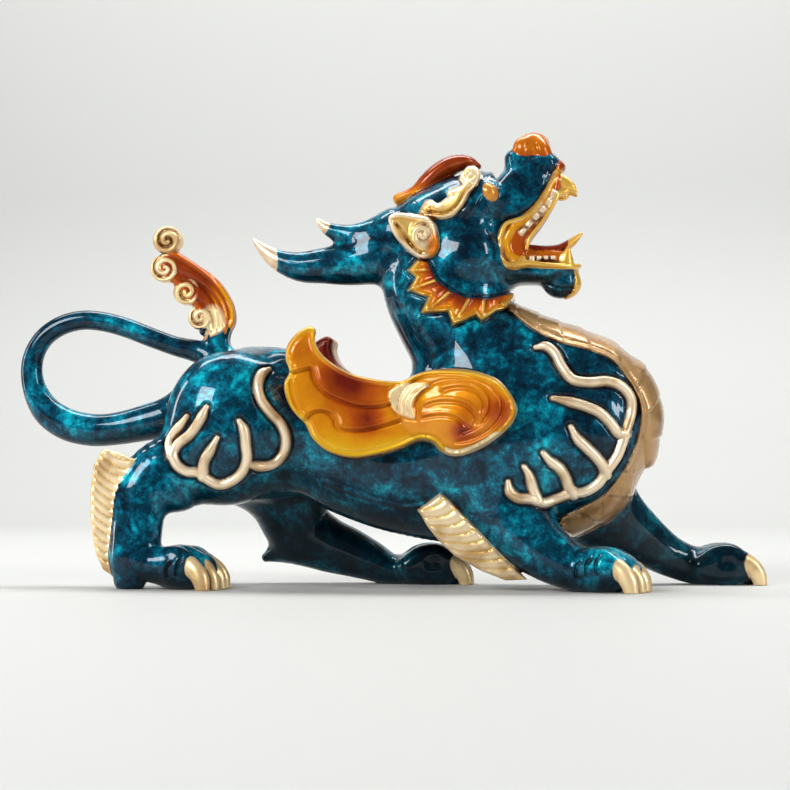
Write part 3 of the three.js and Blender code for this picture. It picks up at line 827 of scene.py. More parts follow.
CREST = Limb(
    [
        [2.2, 194.3, 0, 3.2, 4.5], [7, 195.8, 0, 3.3, 6], [12, 198, 0, 4.3, 8],
        [16.5, 202, 0, 5.2, 9.5], [22, 207, 0, 5.4, 10], [27.5, 210.6, 0, 5, 9.8],
        [33, 212.6, 0, 4.1, 8.8], [38, 212.6, 0, 3, 7], [42, 210.8, 0, 1.6, 4],
    ],
    spacing=1.5,
)
EAR_OUTLINE = [
    (-3.4, 184.9), (-1.1, 186.9), (3.6, 187.4), (9.6, 186.2), (15.6, 185.4), (18.6, 183.4),
    (20.7, 180.2), (21.6, 175), (22, 171), (21, 167.6), (18, 164.9), (13, 164.2), (8.8, 166.6),
    (2.8, 171.7), (-1.1, 176.8), (-2.8, 181.1),
]
EAR = Slab(EAR_OUTLINE, -17, -28, 2.5)
EAR_CURL = (13.9, 176.4)
EAR_ROOT = (21.0, 169.5)
EAR_FOLD = Track([(-1.5, 184), (3, 179.5), (7, 173.5), (11, 168.5), (16, 166.5)])
UPPER_LIP = Limb(
    [
        [81.6, 208.4, -5.5, 1.8, 3], [79.2, 201.8, -8, 1.9, 3.2], [75.9, 195.7, -9.8, 1.9, 3.2],
        [71.5, 189.6, -11.2, 1.9, 3.2], [66.5, 185, -12.4, 1.9, 3.2], [61.4, 181.4, -13.2, 1.9, 3],
        [57.6, 177, -13.8, 1.8, 3], [56, 171.5, -14, 1.8, 2.8], [57, 166.5, -14, 1.8, 2.8],
        [60.5, 163.5, -13.6, 2, 2.6],
    ],
    spacing=1.2,
)
LIP_EDGE = Limb(
    [
        [81, 207.5, -7.5, 0.7, 1.6], [77.6, 200.2, -10.4, 0.8, 1.8], [74.2, 193.6, -12, 0.8, 1.8],
        [70, 188.2, -13.2, 0.9, 1.9], [65, 184.9, -14.2, 1, 2], [60, 183.3, -15, 1.1, 2],
        [56, 181.6, -15.8, 1.2, 2], [53.6, 177, -16.4, 1.2, 2], [52.6, 170.5, -16.6, 1.2, 2],
        [53.4, 164.6, -16.4, 1.2, 2], [57, 160.8, -15.8, 1.4, 2], [61.5, 160.8, -14.6, 1.7, 2.2],
        [64.4, 163.8, -13.4, 1.5, 2.2],
    ],
    spacing=1.2,
)
LOWER_LIP = Limb(
    [[58, 160.6, -15.2, 1.5, 2.6], [66, 161.6, -13.5, 1.6, 2.8], [73, 161, -12, 1.5, 2.8],
     [82.5, 160.4, -9.5, 1.5, 2.8], [89.5, 160, -5, 1.6, 2.6], [91.5, 160, 0, 1.7, 2.4]],
    spacing=1.2,
)
# Gums between the lips, filled from side to side: what is beyond their edge is open
UPPER_GUM = Slab(
    [
        (82.5, 207), (83.4, 200.5), (81.4, 196.2), (78.8, 191.2), (76, 186.6), (72.7, 181.8),
        (69, 177.3), (66.4, 173.2), (65.6, 168), (64.5, 162), (57, 163), (54.6, 168), (54.6, 176),
        (58, 181), (64, 185), (71, 191), (75.6, 197.6), (78.6, 204),
    ],
    8,
    -14.2,
    1.4,
    lambda p: 0.22 * (p[:, 0] - 62),
)
LOWER_GUM = Slab(
    [(60, 158.5), (60, 168), (66, 168.6), (74, 168), (82, 168), (88, 167.5), (89.6, 164), (89.6, 159.5)],
    8,
    -11.4,
    1.4,
    lambda p: 0.16 * (p[:, 0] - 62),
    smooth=False,
)
INNER_EDGE = Limb(
    [
        [82.6, 197.6, -8.6, 1.3, 1.4], [79.8, 192, -10.2, 1.1, 1.4], [76.9, 187.2, -11.4, 1.0, 1.4],
        [73.6, 182.3, -12.4, 1.0, 1.4], [69.9, 177.6, -13.2, 1.0, 1.4], [67.2, 173.6, -13.8, 0.9, 1.3],
        [66.4, 169, -14, 0.7, 1.1],
    ],
    spacing=1.2,
)
TONGUE = Limb(
    [
        [60, 167.8, 0, 3.2, 11], [68, 168, 0, 3, 9.5], [76, 167.8, 0, 2.8, 8], [83, 169, 0, 2.5, 6.2],
        [88.5, 172, 0, 2.3, 4], [93.6, 176.6, 0, 0.9, 1.2],
    ],
    spacing=1.5,
)
UPPER_FANG = Limb(
    [[82.5, 203.5, -5.5, 3.8, 3], [86, 202, -6.4, 3.2, 2.8], [89, 200.2, -6.8, 2.2, 2.2],
     [91, 198.4, -7, 0.9, 0.9]],
    spacing=1,
)
FANG_HEEL = Ball(84.4, 197.6, -7, 3, 2.6, 1.9, 10)
LOWER_FANG = Limb(
    [[85.6, 161.5, -7, 4, 2.6], [86.4, 165.5, -7.2, 2.6, 2.2], [87.2, 170, -7.4, 0.9, 0.9]], spacing=1
)
UPPER_TEETH = [
    (79.4, 196.6, -9.4), (77, 192.6, -10.4), (74.3, 188.7, -11.3), (71.2, 184.9, -12.2),
    (67.7, 181.3, -12.9), (64.4, 177.9, -13.6),
]
LOWER_TEETH = [(68.8, 164.4, -12.2), (72.3, 164.4, -11.6), (75.8, 164.4, -10.9), (79.3, 164.4, -10.3)]
TEETH = [Ball(*place, 1.8, 1.7, 1.25, 50, square=True) for place in UPPER_TEETH]
TEETH += [Ball(*place, 1.3, 1.5, 1.1, square=True) for place in LOWER_TEETH]
# Gold lies on the chin outside this circle: (across, up, radius)
CHIN_CIRCLE = (80.0, 153.5, 10.6)
CHIN_STRIPES = [
    Track([(76, 151.5), (82, 149.3), (90, 149.3)]),
    Track([(76.5, 148.5), (82, 146.6), (89, 147.2)]),
]

# Fins
HOCK_FIN = Slab(
    [(-146, 68.5), (-139.5, 67.5), (-130, 63), (-134, 53), (-136, 38), (-138, 23), (-141, 5.5),
     (-145.5, 8.5), (-149.5, 17), (-152, 33), (-152, 48), (-150.5, 60.5)],
    -26.5,
    -36,
    1.5,
    smooth=False,
)
ELBOW_FIN = Slab(
    [(11.5, 38), (16.5, 41.5), (22.5, 46), (26.5, 43), (44, 25), (66, 3.5), (55, 3), (42.5, 8),
     (30, 15), (21.5, 23), (16, 30)],
    -24,
    -34.5,
    1.5,
    smooth=False,
)
RIB_PITCH = 4.3
# How high the ribs stand over the face, and how deep the grooves go
RIB_HEIGHT = 1.1
RIB_DEPTH = 0.4
# Each fin, its middle line (two points), the slope of its ribs and how much they sag
FINS = (
    (HOCK_FIN, ((-139, 66), (-145, 8)), 0.45, 0.03),
    (ELBOW_FIN, ((17, 38), (60, 4)), -0.12, 0.014),
)


def fin_ribs(flat, middle, slope, sag):
    """0 in the grooves across a fin, 1 on its ribs."""
    (a0, u0), (a1, u1) = middle
    aside = flat[:, 0] - a0 - (flat[:, 1] - u0) * (a1 - a0) / (u1 - u0)
    place = (flat[:, 1] + slope * aside - sag * aside**2) / RIB_PITCH
    return np.sqrt(np.abs(np.sin(math.pi * place)) + 0.01)


# Tail flame
FLAME = Slab(
    [
        (-97, 117), (-95.5, 127), (-98, 133), (-102, 141), (-107, 146), (-111, 151), (-116, 155),
        (-119, 160), (-117, 165), (-113.5, 168), (-109.6, 167.5), (-99.1, 161), (-90.7, 155),
        (-85.4, 148.7), (-81.2, 140.2), (-80.6, 132), (-83, 126.6), (-83.5, 122), (-81, 116),
    ],
    5.2,
    -5.2,
    3,
)
# Curls: (across, up, radius, pitch, turn, sense)
CURLS = (
    (-114.6, 173.4, 7.2, 4.2, 0.52, -1), (-115.8, 159.2, 7.2, 3.7, 0.9, -1),
    (-104.8, 147.3, 6.6, 3.9, 0.2, 1), (-97.6, 134.3, 6.2, 3.8, 0.6, -1),
    (-95.8, 127.6, 2.4, 2.6, 0.3, -1),
)
CURL_HALF = 5.0
CURL_ROUNDING = 2.5
FLAME_LINES = [
    Track([(-115.9, 166.5), (-106.5, 162.4), (-98, 157), (-91.7, 151), (-87.4, 145), (-84.4, 137.5),
           (-83.4, 129)]),
    Track([(-110.7, 169), (-101.2, 163.2), (-92.8, 156), (-87.5, 149.5), (-83.3, 141), (-82.2, 131)]),
    Track([(-112, 158), (-105.4, 155.5), (-98, 150.8), (-92, 145), (-87.8, 137.5), (-85.8, 129)]),
    Track([(-106.4, 153.4), (-101.2, 152.3), (-96, 148.6), (-91.7, 143.4), (-89.5, 136), (-88.5, 127)]),
    Track([(-98.5, 142.5), (-94.5, 139.5), (-92, 134), (-91.5, 126)]),
]
FLAME_STRIPES = ((-1.4, 0.9, 1), (-4.6, 0.9, 1), (-7.4, 0.7, 1))
# The stem is blue below this height, and a gold tuft grows round its spot
FLAME_STEM = 126.0
TUFT_SPOT = (-91.5, 131.5)
TUFT_SIZE = (6.0, 8.5)


def flame_sheet(p, flat, edge):
    face = np.zeros(len(p), np.float32)
    for track in FLAME_LINES:
        distance, place, _ = track.measure(flat)
        face -= 1.2 * hump(distance, 0.9) * step(track.before[-1] - place, 3)
    return FLAME.distance(p, edge, face)


def flame_curls(p, flat):
    curls = np.full(len(p), FAR, np.float32)
    for across, up, radius, pitch, turn, sense in CURLS:
        reach = from_spot(flat, (across, up)) - radius
        line = spiral(flat, (across, up), pitch, turn, sense)
        coil = 0.9 * step(line, pitch / 2) - 1.1 * hump(line, 0.7)
        coil *= step(1.5 - reach, 2)
        curls = np.minimum(curls, rounded(reach, np.abs(p[:, 1]) - CURL_HALF - coil, CURL_ROUNDING))
    return curls


class Skin:
    """The bare body at some points, with what is drawn on it: height, zones and tones."""

    reach = 7.0

    def __init__(self, p, folded, flat):
        self.p = p
        self.flat = flat
        self.whole, self.trunk, self.legs, self.head, self.horn = bare_skin(p, folded)
        self.height = np.zeros(len(p), np.float32)
        self.gold = np.full(len(p), FAR, np.float32)
        self.amber = np.full(len(p), FAR, np.float32)
        self.hue = np.full(len(p), 0.6, np.float32)
        self.warm = np.full(len(p), CHAMPAGNE, np.float32)
        self.breast_plates()
        self.collar()
        self.mouth()
        self.chin()
        self.belly_crease()
        self.paw_tufts()
        self.horn_tips()

    def within(self, left=-FAR_OFF, right=FAR_OFF, bottom=-FAR_OFF, top=FAR_OFF):
        """True close to the skin, inside a box of the picture."""
        across, up = self.flat.T
        inside = (across > left) & (across < right) & (up > bottom) & (up < top)
        return inside & (self.whole < self.reach)

    def breast_plates(self):
        picked = self.within(left=40, bottom=8, top=142)
        distance, place, side = PLATE_EDGE.measure(self.flat[picked])
        outward = distance * side
        place = place + PLATE_SLANT * np.maximum(outward, 0)
        index = np.clip(np.searchsorted(PLATE_ENDS, place) - 1, 0, len(PLATE_ENDS) - 2)
        start = PLATE_ENDS[index]
        share = np.clip((place - start) / (PLATE_ENDS[index + 1] - start), 0, 1)
        plate = PLATE_LIFT * (1 + share * step(1 - share, 0.1)) + relief(outward, *PLATE_RIM)
        # They are on the trunk only, not on the head or the legs
        mine = step(np.minimum(self.head[picked] - self.whole[picked], 3) / 3, 1)
        mine *= step(self.legs[picked] - self.trunk[picked] + 1, 2)
        self.height[picked] += plate * step(outward + 0.6, 1.4) * mine
        border = np.maximum(-outward, (0.5 - mine) * 4)
        self.gold[picked] = np.minimum(self.gold[picked], border)
        self.warm[picked] = np.where(border < 0.5, BRONZE, self.warm[picked])

    def collar(self):
        picked = self.within(2, 64, 127, 167)
        here = self.flat[picked]
        inside = -MANE.signed(here)
        rim = MANE_RIM.distance(here)
        crease = np.min([track.distance(here) for track in MANE_CREASES], axis=0)
        crease = np.minimum(crease, FAR)
        locks = MANE_LIFT + relief(rim, *MANE_RIM_RELIEF) + relief(crease, *MANE_CREASE_RELIEF)
        self.height[picked] += locks * step(inside + 0.4, 1.2) - 0.8 * hump(inside + 0.9, 0.7)
        border = np.maximum(-inside, np.minimum(rim - 1.7, crease - 0.75))
        self.gold[picked] = np.minimum(self.gold[picked], border)
        self.warm[picked] = np.where(inside > -0.5, YELLOW, self.warm[picked])
        self.amber[picked] = -inside
        self.hue[picked] = np.clip(0.1 + rim / 10, 0, 0.9)

    def mouth(self):
        """The inside of the mouth is red."""
        picked = self.within(left=52, bottom=158) & (self.head < 6)
        inside = MOUTH.signed(self.flat[picked])
        self.amber[picked] = np.minimum(self.amber[picked], inside)
        self.hue[picked] = np.where(inside < 1.5, 0.95, self.hue[picked])

    def chin(self):
        """Stripes, and the gold crescent under them."""
        picked = self.within(left=72, bottom=140, top=158)
        here = self.flat[picked]
        for track in CHIN_STRIPES:
            self.height[picked] -= 0.7 * hump(track.distance(here), 0.7)
        crescent = CHIN_CIRCLE[2] - from_spot(here, CHIN_CIRCLE)
        crescent = np.maximum(crescent, 85 - here[:, 0])
        self.height[picked] += 0.7 * step(0.3 - crescent, 0.8)
        self.gold[picked] = np.minimum(self.gold[picked], crescent)
        self.warm[picked] = YELLOW

    def belly_crease(self):
        picked = self.within(-40, 24, 34, 60)
        distance, place, _ = BELLY_LINE.measure(self.flat[picked])
        self.height[picked] += relief(distance, *BELLY_CREASE) * BELLY_LINE.fade(place, 6, 6)

    def paw_tufts(self):
        """Tufts on the outer side of each near paw."""
        low = (self.p[:, 2] < TUFT_HEIGHT) & (self.p[:, 1] < 0)
        for name in ("right hind", "right front"):
            middle = PAW_SHAPES[name].centre[0]
            picked = self.within(middle - TUFT_REACH, middle + TUFT_REACH) & low
            for track in PAW_TUFTS:
                distance, place, _ = track.measure(self.flat[picked] - (middle, 0))
                self.height[picked] += relief(distance, *TUFT_RELIEF) * track.fade(place, 3, 4)

    def horn_tips(self):
        for across, up, radius in HORN_TIPS:
            border = np.maximum(from_spot(self.flat, (across, up)) - radius, self.horn - self.whole - 2)
            self.gold = np.minimum(self.gold, border)


def folded_over(p):
    """The points, with those of the left side mirrored to the right."""
    folded = p.copy()
    folded[:, 1] = -np.abs(folded[:, 1])
    return folded


class Layers:
    """The parts of the statue at some points, each a distance with its finish."""

    def __init__(self, count):
        self.count = count
        self.rows = []

    def add(self, shown, distance, gold=False, amber=False, hue=0.5, warm=CHAMPAGNE):
        """One layer where `shown`; gold and amber are distances or a plain yes or no."""
        if not shown.any():
            return
        row = np.full((5, self.count), FAR, np.float32)
        row[3] = 0.5
        row[4] = CHAMPAGNE
        for i, value in enumerate((distance, gold, amber, hue, warm)):
            if isinstance(value, bool):
                value = -FAR if value else FAR
            row[i, shown] = value
        self.rows.append(row)

    def distance(self):
        total = self.rows[0][0]
        for row in self.rows[1:]:
            total = blend(total, row[0], LAYER_FILLET)
        return total

    def finish(self):
        """Gold and amber as distances from their borders, hue and warmth, from the nearest layer."""
        distance, gold, amber, hue, warm = np.stack(self.rows, axis=1)
        order = np.argsort(distance, axis=0)[:2]
        points = np.arange(self.count)
        first, second = distance[order, points]
        own = np.arange(len(distance))[:, None] == order[0]
        apart = np.where(own, first - second, distance - first)
        gold = np.maximum(gold, apart).min(axis=0)
        amber = np.maximum(amber, apart).min(axis=0)
        return gold, amber, hue[order[0], points], warm[order[0], points]


def full_field(p, finish=False):
    """Distance from the statue, and with `finish` also gold, amber, hue and warmth."""
    p = p.astype(np.float32)
    folded = folded_over(p)
    flat = picture(folded).astype(np.float32)
    layers = Layers(len(p))
    skin_layers(layers, p, folded, flat)
    for paw in PAW_SHAPES.values():
        close = near(paw, p, 4)
        layers.add(close, paw.claw_distance(p[close]), gold=True, warm=PALE)
    wing_layer(layers, folded, flat)
    for fin in FINS:
        fin_layer(layers, p, flat, *fin)
    flame_layers(layers, p, flat)
    close = (p[:, 2] > HEAD_LOW) & (p[:, 0] > HEAD_BACK) & (p[:, 0] < HEAD_FRONT)
    if close.any():
        head_layers(partial(layers.add, close), p[close], folded[close], flat[close])
    total = np.maximum(layers.distance(), -p[:, 2])
    if not finish:
        return total[:, None]
    return np.column_stack((total, *layers.finish()))


def skin_layers(layers, p, folded, flat):
    """The gold lines on haunch and breast, each in a narrow trench, and the skin."""
    skin = Skin(p, folded, flat)
    surface = skin.whole - skin.height
    trench = np.zeros(len(p), np.float32)
    for cords in (HAUNCH_CORDS, BREAST_CORDS):
        close = near(cords, folded, 4) & (np.abs(surface) < skin.reach)
        distance = cords.distance(folded[close])
        trench[close] += relief(distance, LINE_TRENCH)
        layers.add(close, distance, gold=True)
    everywhere = np.ones(len(p), bool)
    layers.add(everywhere, surface + trench, skin.gold, skin.amber, skin.hue, skin.warm)


def wing_layer(layers, folded, flat):
    """The wing: pale petal and lower front rim, yellow edge, dark red inner side."""
    close = near(WING, folded, 6)
    here = flat[close]
    across, up = here.T
    edge = WING.edge(here)
    distance = WING.distance(folded[close], edge, wing_face(here, edge))
    lower_rim = np.maximum(-edge - 3.0, np.maximum(25 - across, up - 77))
    petals = np.minimum(PETAL.signed(here), lower_rim)
    inner = folded[close][:, 1] - WING.middle
    gold = np.where(inner < -3, petals, FAR)
    gold = np.minimum(gold, np.maximum(-edge - 0.9, inner + 2))
    hue = pools(here, WING_REDS, 0.28) - 0.25 * step(78 - up, 8) * step(20 - across, 10)
    hue = np.clip(hue - 0.3 * hump(edge + 1.6, 0.9), 0, 1)
    hue = np.where(inner > 1, 0.95, hue)
    layers.add(close, distance, gold, True, hue, np.where(petals < 0.6, PALE, YELLOW))


def fin_layer(layers, p, flat, fin, middle, slope, sag):
    """Pale ribs, with brown painted in the grooves as painted shade."""
    close = near(fin, p, 5)
    here = flat[close]
    edge = fin.edge(here)
    ribs = fin_ribs(here, middle, slope, sag)
    face = (RIB_HEIGHT * ribs - RIB_DEPTH) * step(-edge - 0.3, 1.5)
    # Painted shade: the grooves between the ribs turn brown
    tone = 0.12 + 0.8 * hump(ribs, 0.42)
    layers.add(close, fin.distance(p[close], edge, face), gold=True, warm=tone)


def flame_layers(layers, p, flat):
    """The red sheet with its yellow stripes, blue stem and gold tuft, and the gold curls."""
    close = near(FLAME, p, 15)
    here = flat[close]
    across, up = here.T
    edge = FLAME.edge(here)
    right = step(across + 96, 6) * step(156 - up, 12)
    hue = 0.85 - 0.3 * hump(edge + 1, 1.6) - 0.6 * relief(edge, *FLAME_STRIPES) * right
    stem = up - FLAME_STEM - 0.35 * (across + 90) + 1.8 * np.sin(1.9 * across)
    wide, tall = TUFT_SIZE
    tuft = 1.25 * (from_spot(here, TUFT_SPOT, wide / tall) / wide - 1)
    tuft = np.maximum(tuft, -0.25 * stem)
    sheet = flame_sheet(p[close], here, edge)
    layers.add(close, sheet, tuft, -stem, np.clip(hue, 0, 1), PALE)
    small = step(129.5 - up, 0.5) > 0.5
    tone = PALE + (HONEY - PALE) * hump(from_spot(here, CURLS[2]), 5)
    layers.add(close, flame_curls(p[close], here), np.where(small, FAR, -FAR), hue=0.3, warm=tone)


def head_layers(add, p, folded, flat):
    across, up = flat.T
    nose = union(NOSE, folded, 2.0)
    for track in NOSE_LINES:
        nose += 0.7 * hump(track.distance(flat), 0.7)
    add(nose, amber=True, hue=0.48 + 0.25 * step(220 - up, 8))
    add(away(LIP_TIP, p), amber=True, hue=0.75)
    # The eye is half gold, half amber
    add(away(EYE, folded), 0.05, True, warm=YELLOW)
    brow_layer(add, folded, flat)
    add(away(BROW_RIDGES, folded))
    add(away(CREST, p), amber=True, hue=0.3 + 0.5 * step(up - 194, 12))
    ear_layer(add, folded, flat)
    add(UPPER_GUM.distance(folded, UPPER_GUM.edge(flat)), amber=True, hue=0.62)
    add(LOWER_GUM.distance(folded, LOWER_GUM.edge(flat)), amber=True, hue=0.5)
    add(away(UPPER_LIP, folded), amber=True, hue=0.22)
    add(away(INNER_EDGE, p), gold=True, warm=YELLOW)
    for lip in (LIP_EDGE, LOWER_LIP):
        add(away(lip, folded), gold=True, warm=YELLOW)
    # The tongue has a gold tip
    add(away(TONGUE, p), 87.0 - across, True, 0.88, YELLOW)
    for fang in (UPPER_FANG, FANG_HEEL, LOWER_FANG):
        add(away(fang, folded), gold=True, warm=YELLOW)
    add(np.min([away(tooth, folded) for tooth in TEETH], axis=0), gold=True)


def brow_layer(add, folded, flat):
    """The brow, with a curl at each end: pale above, yellow with pale lines below."""
    edge = BROW.edge(flat)
    curl = spiral(flat, BROW_CURL, 3.4, 0.35, -1)
    top = spiral(flat, BROW_TOP, 3.2, 0.2, 1)
    above = from_spot(flat, BROW_TOP)
    face = -0.9 * hump(curl, 0.7) * step(4.6 - from_spot(flat, BROW_CURL), 1)
    face -= 0.8 * hump(top, 0.6) * step(4.0 - above, 1)
    face += rolled_edge(BROW_EDGE, flat, 0.9, 1.2)
    below = step(203.5 - flat[:, 1], 5)
    # Painted shade: the spiral groove of the top curl is painted a deeper yellow
    tone = 0.12 + 0.5 * hump(top, 0.5) * step(4.4 - above, 1) * (1 - below)
    tone += (HONEY - 0.12 - 0.35 * hump(edge + 0.8, 0.9)) * below
    tone += 0.4 * hump(BROW_EDGE.distance(flat) - 0.3, 0.7) * below
    add(BROW.distance(folded, edge, face), gold=True, warm=tone)


def ear_layer(add, folded, flat):
    """The ear: a folded rim, a hollow and a curl, orange at its lower front with a soft border."""
    edge = EAR.edge(flat)
    curl = spiral(flat, EAR_CURL, 3.9, 0.1)
    around = from_spot(flat, EAR_CURL, 0.75)
    face = -1.6 * step(-edge - 1.6, 2) * step(around - 5, 2.5)
    face += (0.5 - 1.1 * hump(curl, 0.7)) * step(6.2 - around, 1.2)
    face += 1.2 * step(flat[:, 1] - 183.6 + 0.12 * flat[:, 0], 1.5)
    face += rolled_edge(EAR_FOLD, flat, 0.8, 0.9)
    root = 0.14 * (from_spot(flat, EAR_ROOT, 0.6) - 5.5)
    tone = HONEY * step(-edge - 1.2, 1.5) * (1 - 0.7 * step(5.5 - around, 1))
    add(EAR.distance(folded, edge, face), -root, root, 0.4, tone)


def evaluate(points, finish=False):
    """The field at many points, in chunks on several threads."""
    pieces = [points[i : i + CHUNK] for i in range(0, len(points), CHUNK)]
    with ThreadPoolExecutor(max_workers=WORKERS) as pool:
        return np.vstack(list(pool.map(lambda piece: full_field(piece, finish), pieces)))


# Meshing: a coarse grid finds the surface, two finer ones refine it near there
GRID_LOW = np.array((-200.0, -62.0, -6.0))
GRID_SIZE = np.array((396.0, 124.0, 240.0))
LEVELS = (4, 2, 1)
# How far from the surface the next level looks, in fine steps
BANDS = (7.5 * 0.9 / 0.7, 4.0 * 0.9 / 0.7)
# Slopes are measured over this reach, and corners move at most this far at a time
SLOPE_REACH = 0.35
LONGEST_MOVE = 0.4
# Hollows are looked for this far out from the surface, for the painted shade in them
OPEN_REACH = 2.5


def dense_field(fine):
    """Distances on the fine grid, true near the surface and only signed elsewhere."""
    values = None
    for level, factor in enumerate(LEVELS):
        spacing = fine * factor
        if values is None:
            values = np.zeros(np.ceil(GRID_SIZE / spacing).astype(int), np.float32)
            index = np.argwhere(values == 0)
        else:
            for axis in range(3):
                values = np.repeat(values, 2, axis=axis)
            index = np.argwhere(np.abs(values) < BANDS[level - 1] * fine + 0.6 * spacing)
        points = (GRID_LOW + (index + 0.5) * spacing).astype(np.float32)
        values[tuple(index.T)] = evaluate(points)[:, 0]
    return values


def surface_mesh(values, fine):
    band = 3 * fine
    grid = openvdb.FloatGrid(band)
    grid.copyFromArray(np.ascontiguousarray(np.clip(values, -band, band)))
    points, quads = grid.convertToQuads(0.0)
    return GRID_LOW + (points + 0.5) * fine, quads


def gradient(points):
    slopes = []
    for shift in np.eye(3) * SLOPE_REACH:
        ahead = evaluate(points + shift)[:, 0]
        behind = evaluate(points - shift)[:, 0]
        slopes.append((ahead - behind) / (2 * SLOPE_REACH))
    return np.stack(slopes, axis=1)


def to_frame(points):
    return (points - STAND_CENTRE) * METRES


def from_frame(points):
    return points / METRES + STAND_CENTRE


def link_in(name, data):
    item = bpy.data.objects.new(name, data)
    bpy.context.scene.collection.objects.link(item)
    return item


def new_mesh(name, points, faces):
    mesh = bpy.data.meshes.new(name)
    mesh.from_pydata(points.tolist(), [], faces.tolist())
    mesh.update()
    return link_in(name, mesh)


def thin_out(piece):
    """Thin the piece down to at most MOST_TRIANGLES triangles."""
    triangles = sum(len(face.vertices) - 2 for face in piece.data.polygons)
    tool = piece.modifiers.new("thin", "DECIMATE")
    tool.ratio = min(1.0, MOST_TRIANGLES / triangles)
    tool.use_collapse_triangulate = True
    view = bpy.context.view_layer
    view.update()
    thinned = bpy.data.meshes.new_from_object(piece.evaluated_get(view.depsgraph))
    piece.modifiers.clear()
    piece.data = thinned


def corners(piece):
    flat = np.empty(len(piece.data.vertices) * 3, np.float32)
    piece.data.vertices.foreach_get("co", flat)
    return from_frame(flat.reshape(-1, 3).astype(float))


def settle(points):
    """Move the points on to the true surface, and none below the ground."""
    for _ in range(2):
        slope = gradient(points)
        steep = np.maximum((slope**2).sum(axis=1, keepdims=True), 0.25)
        move = evaluate(points)[:, :1] * slope / steep
        length = np.linalg.norm(move, axis=1, keepdims=True)
        points -= move * np.minimum(1, LONGEST_MOVE / np.maximum(length, 1e-6))
    points[:, 2] = np.maximum(points[:, 2], 0)


def painted_underside_shade(points, normals):
    """1 on the inner sides of the legs and underneath: painted shade, where the teal is darkened because
    these sides face down or inward.
    """
    out = points[:, 1]
    inner = np.clip(0.2 - np.sign(out) * normals[:, 1], 0, 1)
    inner *= step(np.abs(out) - 6, 6) * step(72 - points[:, 2], 20)
    return np.maximum(inner, 0.85 * np.clip(-1.5 * normals[:, 2] - 0.15, 0, 1))


def paint(piece, points, normals):
    """Border distances, hue and warmth, and masks for painted shade in hollows, underneath and on inner
    sides, as point attributes, and smooth normals.
    """
    _, gold, amber, hue, warm = evaluate(points, True).T
    # Painted shade: how open each point is, which darkens gold and teal in the hollows
    opened = evaluate(points + normals * OPEN_REACH)[:, 0] / OPEN_REACH
    columns = {
        "gold": gold,
        "amber": amber,
        "hue": hue,
        "warm": warm,
        "open": np.clip(opened, 0, 1.2),
        # Painted shade mask: underneath and on the inner sides of the legs
        "inner": painted_underside_shade(points, normals),
    }
    for name, column in columns.items():
        attribute = piece.data.attributes.new(name, "FLOAT", "POINT")
        attribute.data.foreach_set("value", np.clip(column, -3, 3).astype(np.float32))
    piece.data.shade_smooth()
    piece.data.normals_split_custom_set_from_vertices(normals.tolist())


def statue():
    points, faces = surface_mesh(dense_field(FINE_STEP), FINE_STEP)
    piece = new_mesh("pixiu_body", to_frame(points), faces)
    thin_out(piece)
    points = corners(piece)
    settle(points)
    piece.data.vertices.foreach_set("co", to_frame(points).astype(np.float32).ravel())
    normals = gradient(points)
    normals /= np.maximum(np.linalg.norm(normals, axis=1, keepdims=True), 1e-6)
    paint(piece, points, normals)
    piece.data.update()
    return piece


# Materials
# Teal glaze from dark to light, over the sum of three noises, each with its share
CLOUDS_SHARE = 0.52
GRAINS_SHARE = 0.26
BROAD_SHARE = 0.22
TEAL = [
    (0.42, (0.0004, 0.012, 0.026)),
    (0.495, (0.0005, 0.050, 0.092)),
    (0.55, (0.001, 0.16, 0.25)),
    (0.62, (0.004, 0.50, 0.62)),
]
# Painted shade: dark teal mixed in underneath and on the inner sides of the legs
SHADE_TEAL = (0.0005, 0.008, 0.014)
# Amber glaze from yellow to red-brown
AMBER = [
    (0.0, (0.74, 0.42, 0.012)),
    (0.3, (0.70, 0.25, 0.006)),
    (0.6, (0.46, 0.08, 0.005)),
    (0.95, (0.16, 0.012, 0.005)),
]
GOLD = [
    (CHAMPAGNE, (0.92, 0.75, 0.54)),
    (PALE, (0.94, 0.72, 0.40)),
    (HONEY, (0.88, 0.60, 0.20)),
    (YELLOW, (0.84, 0.50, 0.09)),
    (BRONZE, (0.50, 0.30, 0.13)),
]
# What multiplies the gold in worn patches, and gold and teal in the hollows as painted shade
WORN = [(0.34, (0.66, 0.55, 0.42)), (0.45, (0.90, 0.86, 0.80)), (0.56, (1, 1, 1))]
GOLD_HOLLOW_SHADE = [(0.15, (0.30, 0.17, 0.09)), (0.62, (1, 1, 1))]
TEAL_HOLLOW_SHADE = [(0.2, (0.25, 0.25, 0.25)), (0.9, (1, 1, 1))]
# A painted border is this soft, in mm
BORDER = 0.25


